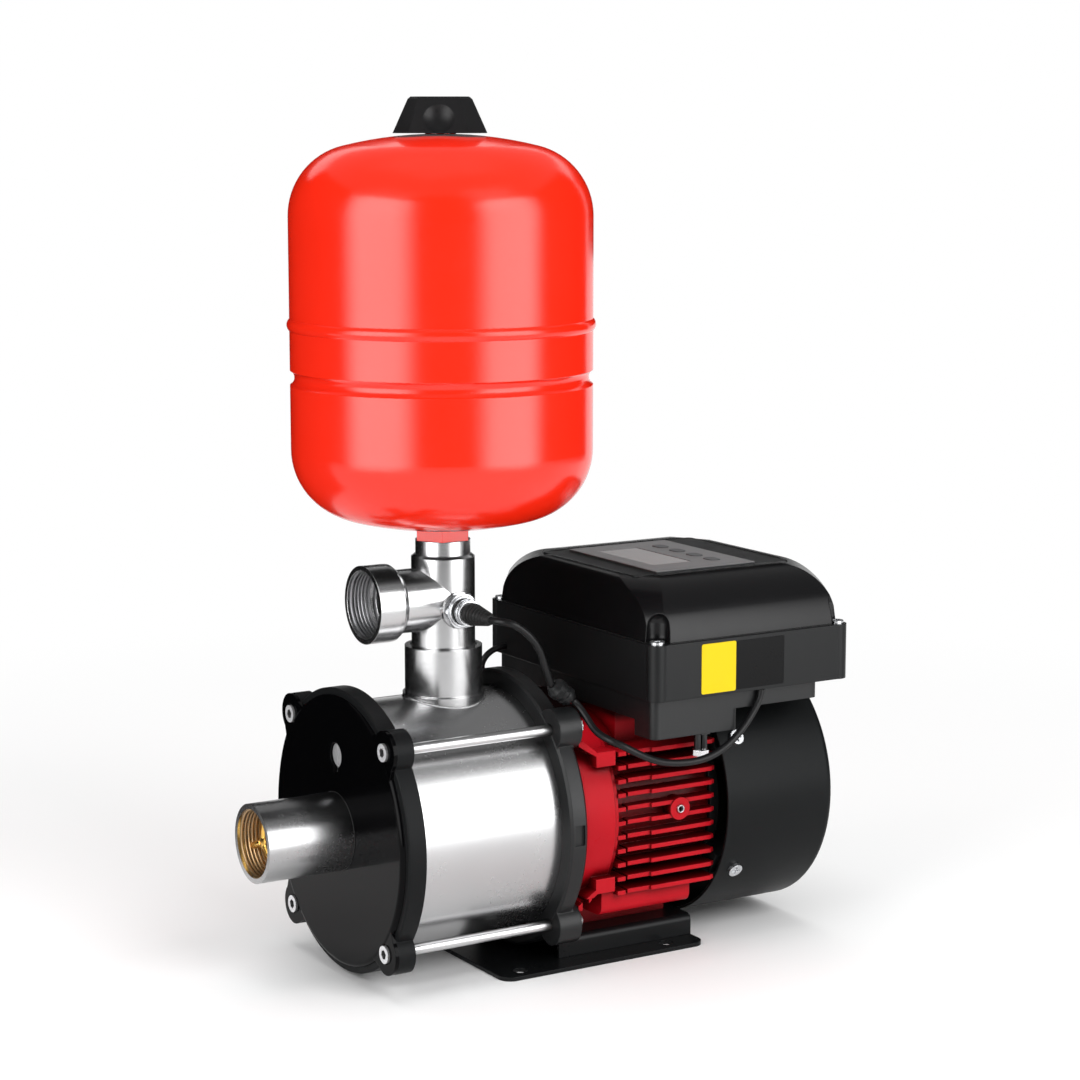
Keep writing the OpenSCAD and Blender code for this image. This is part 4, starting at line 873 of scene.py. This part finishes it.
WELD = growth_tree("weld_drops", {"Count": "Int", "Radius": "Float", "Barrel": "Float", "Drop": "Float"},
                   build_weld)
grow("port_weld_drops", WELD, steel_tee, slot="stainless", Count=150, Radius=0.0246, Barrel=0.0751,
     Drop=0.0008, Place=on_shaft(TEE, 0, 0), Turn=(0, 0, 0))

# %% [markdown]
# ## Pressure sensor
# The sensor is a hexagon of steel on the tee, a washer with a rubber ring, a short steel can, and
# a ridged rubber boot that lets the lead out without a sharp bend. Each is a turned profile.

# %% Sensor
SENSOR = on_shaft(TEE, 0, 129)
OUT = ALONG["-Y"]


def sensor_part(name, material, slot, *profiles):
    """Each profile is a list of (distance, radius), with the settings that turned takes."""
    def build(bm):
        for profile, settings in profiles:
            turned(bm, SENSOR, OUT, profile, **settings)
    new_object(name, build, material, replaced=["pressure_sensor"])


HEXAGON = [(14, 4.95), (20, 4.95), (20, 10.6), (20.6, 11.4), (23.2, 11.4), (24, 10.4), (24, 9.9)]
WASHER = [(23.9, 8.8), (23.9, 9.2), (24.3, 9.5), (25.1, 9.5), (25.5, 9.1), (25.5, 7)]
CAN = [(27.2, 6), (27.2, 7.5), (27.5, 7.8), (29.2, 7.8), (29.5, 7.4), (30.1, 7.4), (30.4, 7.8),
       (31.9, 7.8), (32.4, 8.0), (32.9, 7.8), (33, 7.2), (33, 6)]
SEAL = [(25.4, 6.5), (25.4, 7.6), (25.9, 8.1), (26.8, 8.1), (27.3, 7.6), (27.3, 6.5)]
BOOT = [(32.8, 5), (32.8, 6.2), (33.4, 6.5), (35, 6.4), (45, 4.9), (55, 3.5), (56.6, 3.0), (57, 2.3)]
sensor_part("sensor_hexagon", zinc, "stainless", (HEXAGON, {"sides": 72, "flats": 9.96}), (WASHER, {}))
sensor_part("sensor_can", zinc, "stainless", (CAN, {}))
sensor_part("sensor_seal", rubber, "rubber", (SEAL, {}))
sensor_part("sensor_boot", rubber, "rubber", (BOOT, {}))
grow("sensor_boot_ridges", RIDGES, rubber, slot="rubber", replaced=["pressure_sensor"], Count=7,
     Spacing=0.0028, Radius=0.0061, Thickness=0.0007, Place=on_shaft(TEE, -36.2, 129),
     Turn=(math.pi / 2, 0, 0), **{"Last scale": 0.62})

# %% [markdown]
# ## Connector on the lead
# Halfway down, the sensor's own lead plugs into the controller's. The plug and the socket are
# small turned mouldings with a knurled collar between them.

# %% Lead connector
PLUG_START, PLUG_END = SENSOR_ROUTE[9], SENSOR_ROUTE[11]
PLUG_WAY = (PLUG_END - PLUG_START).normalized()
PLUG = [(0, 2.6), (0, 3.4), (0.5, 3.9), (3, 5.3), (3.4, 5.9), (3.8, 6), (7.6, 6), (8, 5.7), (8.1, 5.1),
        (10.9, 5.1), (11.1, 5.7), (11.5, 5.8), (14.6, 5.8), (15, 5.5), (17.5, 3.8), (18, 3.3), (18, 2.6)]
lead_plug = new_object("lead_plug", lambda bm: turned(bm, PLUG_START, PLUG_WAY, PLUG), box_black,
                       replaced=["lead_connector"])
plug_rings = grow("lead_plug_ridges", RIDGES, box_black, slot="lead_jacket", replaced=["lead_connector"],
                  Count=4, Spacing=0.0011, Radius=0.0059, Thickness=0.0004,
                  Place=PLUG_START + PLUG_WAY * 0.0041,
                  Turn=tuple(PLUG_WAY.to_track_quat("Z", "Y").to_euler()), **{"Last scale": 1.0})

# %% [markdown]
# ## Small fittings
# A dark ring of sealant closes the seam where the suction port leaves the cover, and a threaded
# steel insert sits in the motor's lifting boss. Both are closed profiles, turned to rings.

# %% Rings and inserts
SEAM = ring_profile(0.1, 23.5, 0.3)
INSERT = [(0, 1.7), (0, 2.5), (3.7, 2.5), (4.1, 2.3), (4.1, 1.9), (3.7, 1.7)]
new_object("port_seam_ring",
           lambda bm: turned(bm, on_shaft(0, 0, 0), ALONG["-X"], SEAM, sides=96, closed=True),
           rubber)
new_object("boss_insert",
           lambda bm: turned(bm, on_shaft(199, -66, 2), ALONG["-Y"], INSERT, sides=32, closed=True),
           zinc)

# %% [markdown]
# Looking into the suction port, one sees a brass spider in front of the check valve: a hub with
# three arms, each bent back to the valve's cage. The hub is a turned profile, and an arm is a short
# tube along four points, so the builders from above do for both.

# %% Brass spider
SPIDER_FRONT, CAGE_FRONT = -49.0, -33.1
ARM_REACH, ARM_RADIUS = 0.0158, 0.0022


def spider(bm):
    hub = on_shaft(SPIDER_FRONT, 0, 0)
    inwards = ALONG["X"]
    turned(bm, hub, inwards, [(0, 3.6), (0.5, 4.4), (3, 4.4), (3.4, 3.8)], sides=32)
    for k in range(3):
        a = math.radians(120 * k - 20)
        out = Vector((0, math.cos(a), math.sin(a)))
        knee = hub + ARM_REACH * out
        points = [hub + 0.003 * out + 0.0017 * inwards, knee - 0.002 * out + 0.0017 * inwards,
                  knee + 0.0004 * out + 0.0036 * inwards,
                  knee + 0.0004 * out + (CAGE_FRONT - SPIDER_FRONT) / 1000 * inwards]
        tube(bm, curve_points(points, 4), ARM_RADIUS, sides=12)


new_object("check_valve_spider", spider, brass)

# %% [markdown]
# Two thin films, one yellow and one dark, lie on the controller's side. They are plain, with
# rounded corners: an outline drawn twice, a hair apart, and skinned.

# %% Films on the controller's side
SIDE_FACE = -95.7
CORNER, THICKNESS = 1.2, 0.18


def film(bm, x0, x1, z0, z1):
    """A film from x0 to x1 along the shaft and from z0 to z1 above it, in millimetres."""
    rim = []
    for cx, cz, start in ((x1 - CORNER, z1 - CORNER, 0), (x0 + CORNER, z1 - CORNER, 90),
                          (x0 + CORNER, z0 + CORNER, 180), (x1 - CORNER, z0 + CORNER, 270)):
        for a in (math.radians(start + step) for step in (0, 30, 60, 90)):
            rim.append((cx + CORNER * math.cos(a), cz + CORNER * math.sin(a)))
    skin(bm, [[bm.verts.new(on_shaft(x, SIDE_FACE - depth, z)) for x, z in rim] for depth in (0, THICKNESS)])


new_object("yellow_film", lambda bm: film(bm, 195.2, 220.2, 78.1, 108.5), patch_yellow)
new_object("dark_film", lambda bm: film(bm, 220.7, 255.8, 78.5, 108.2), patch_dark)
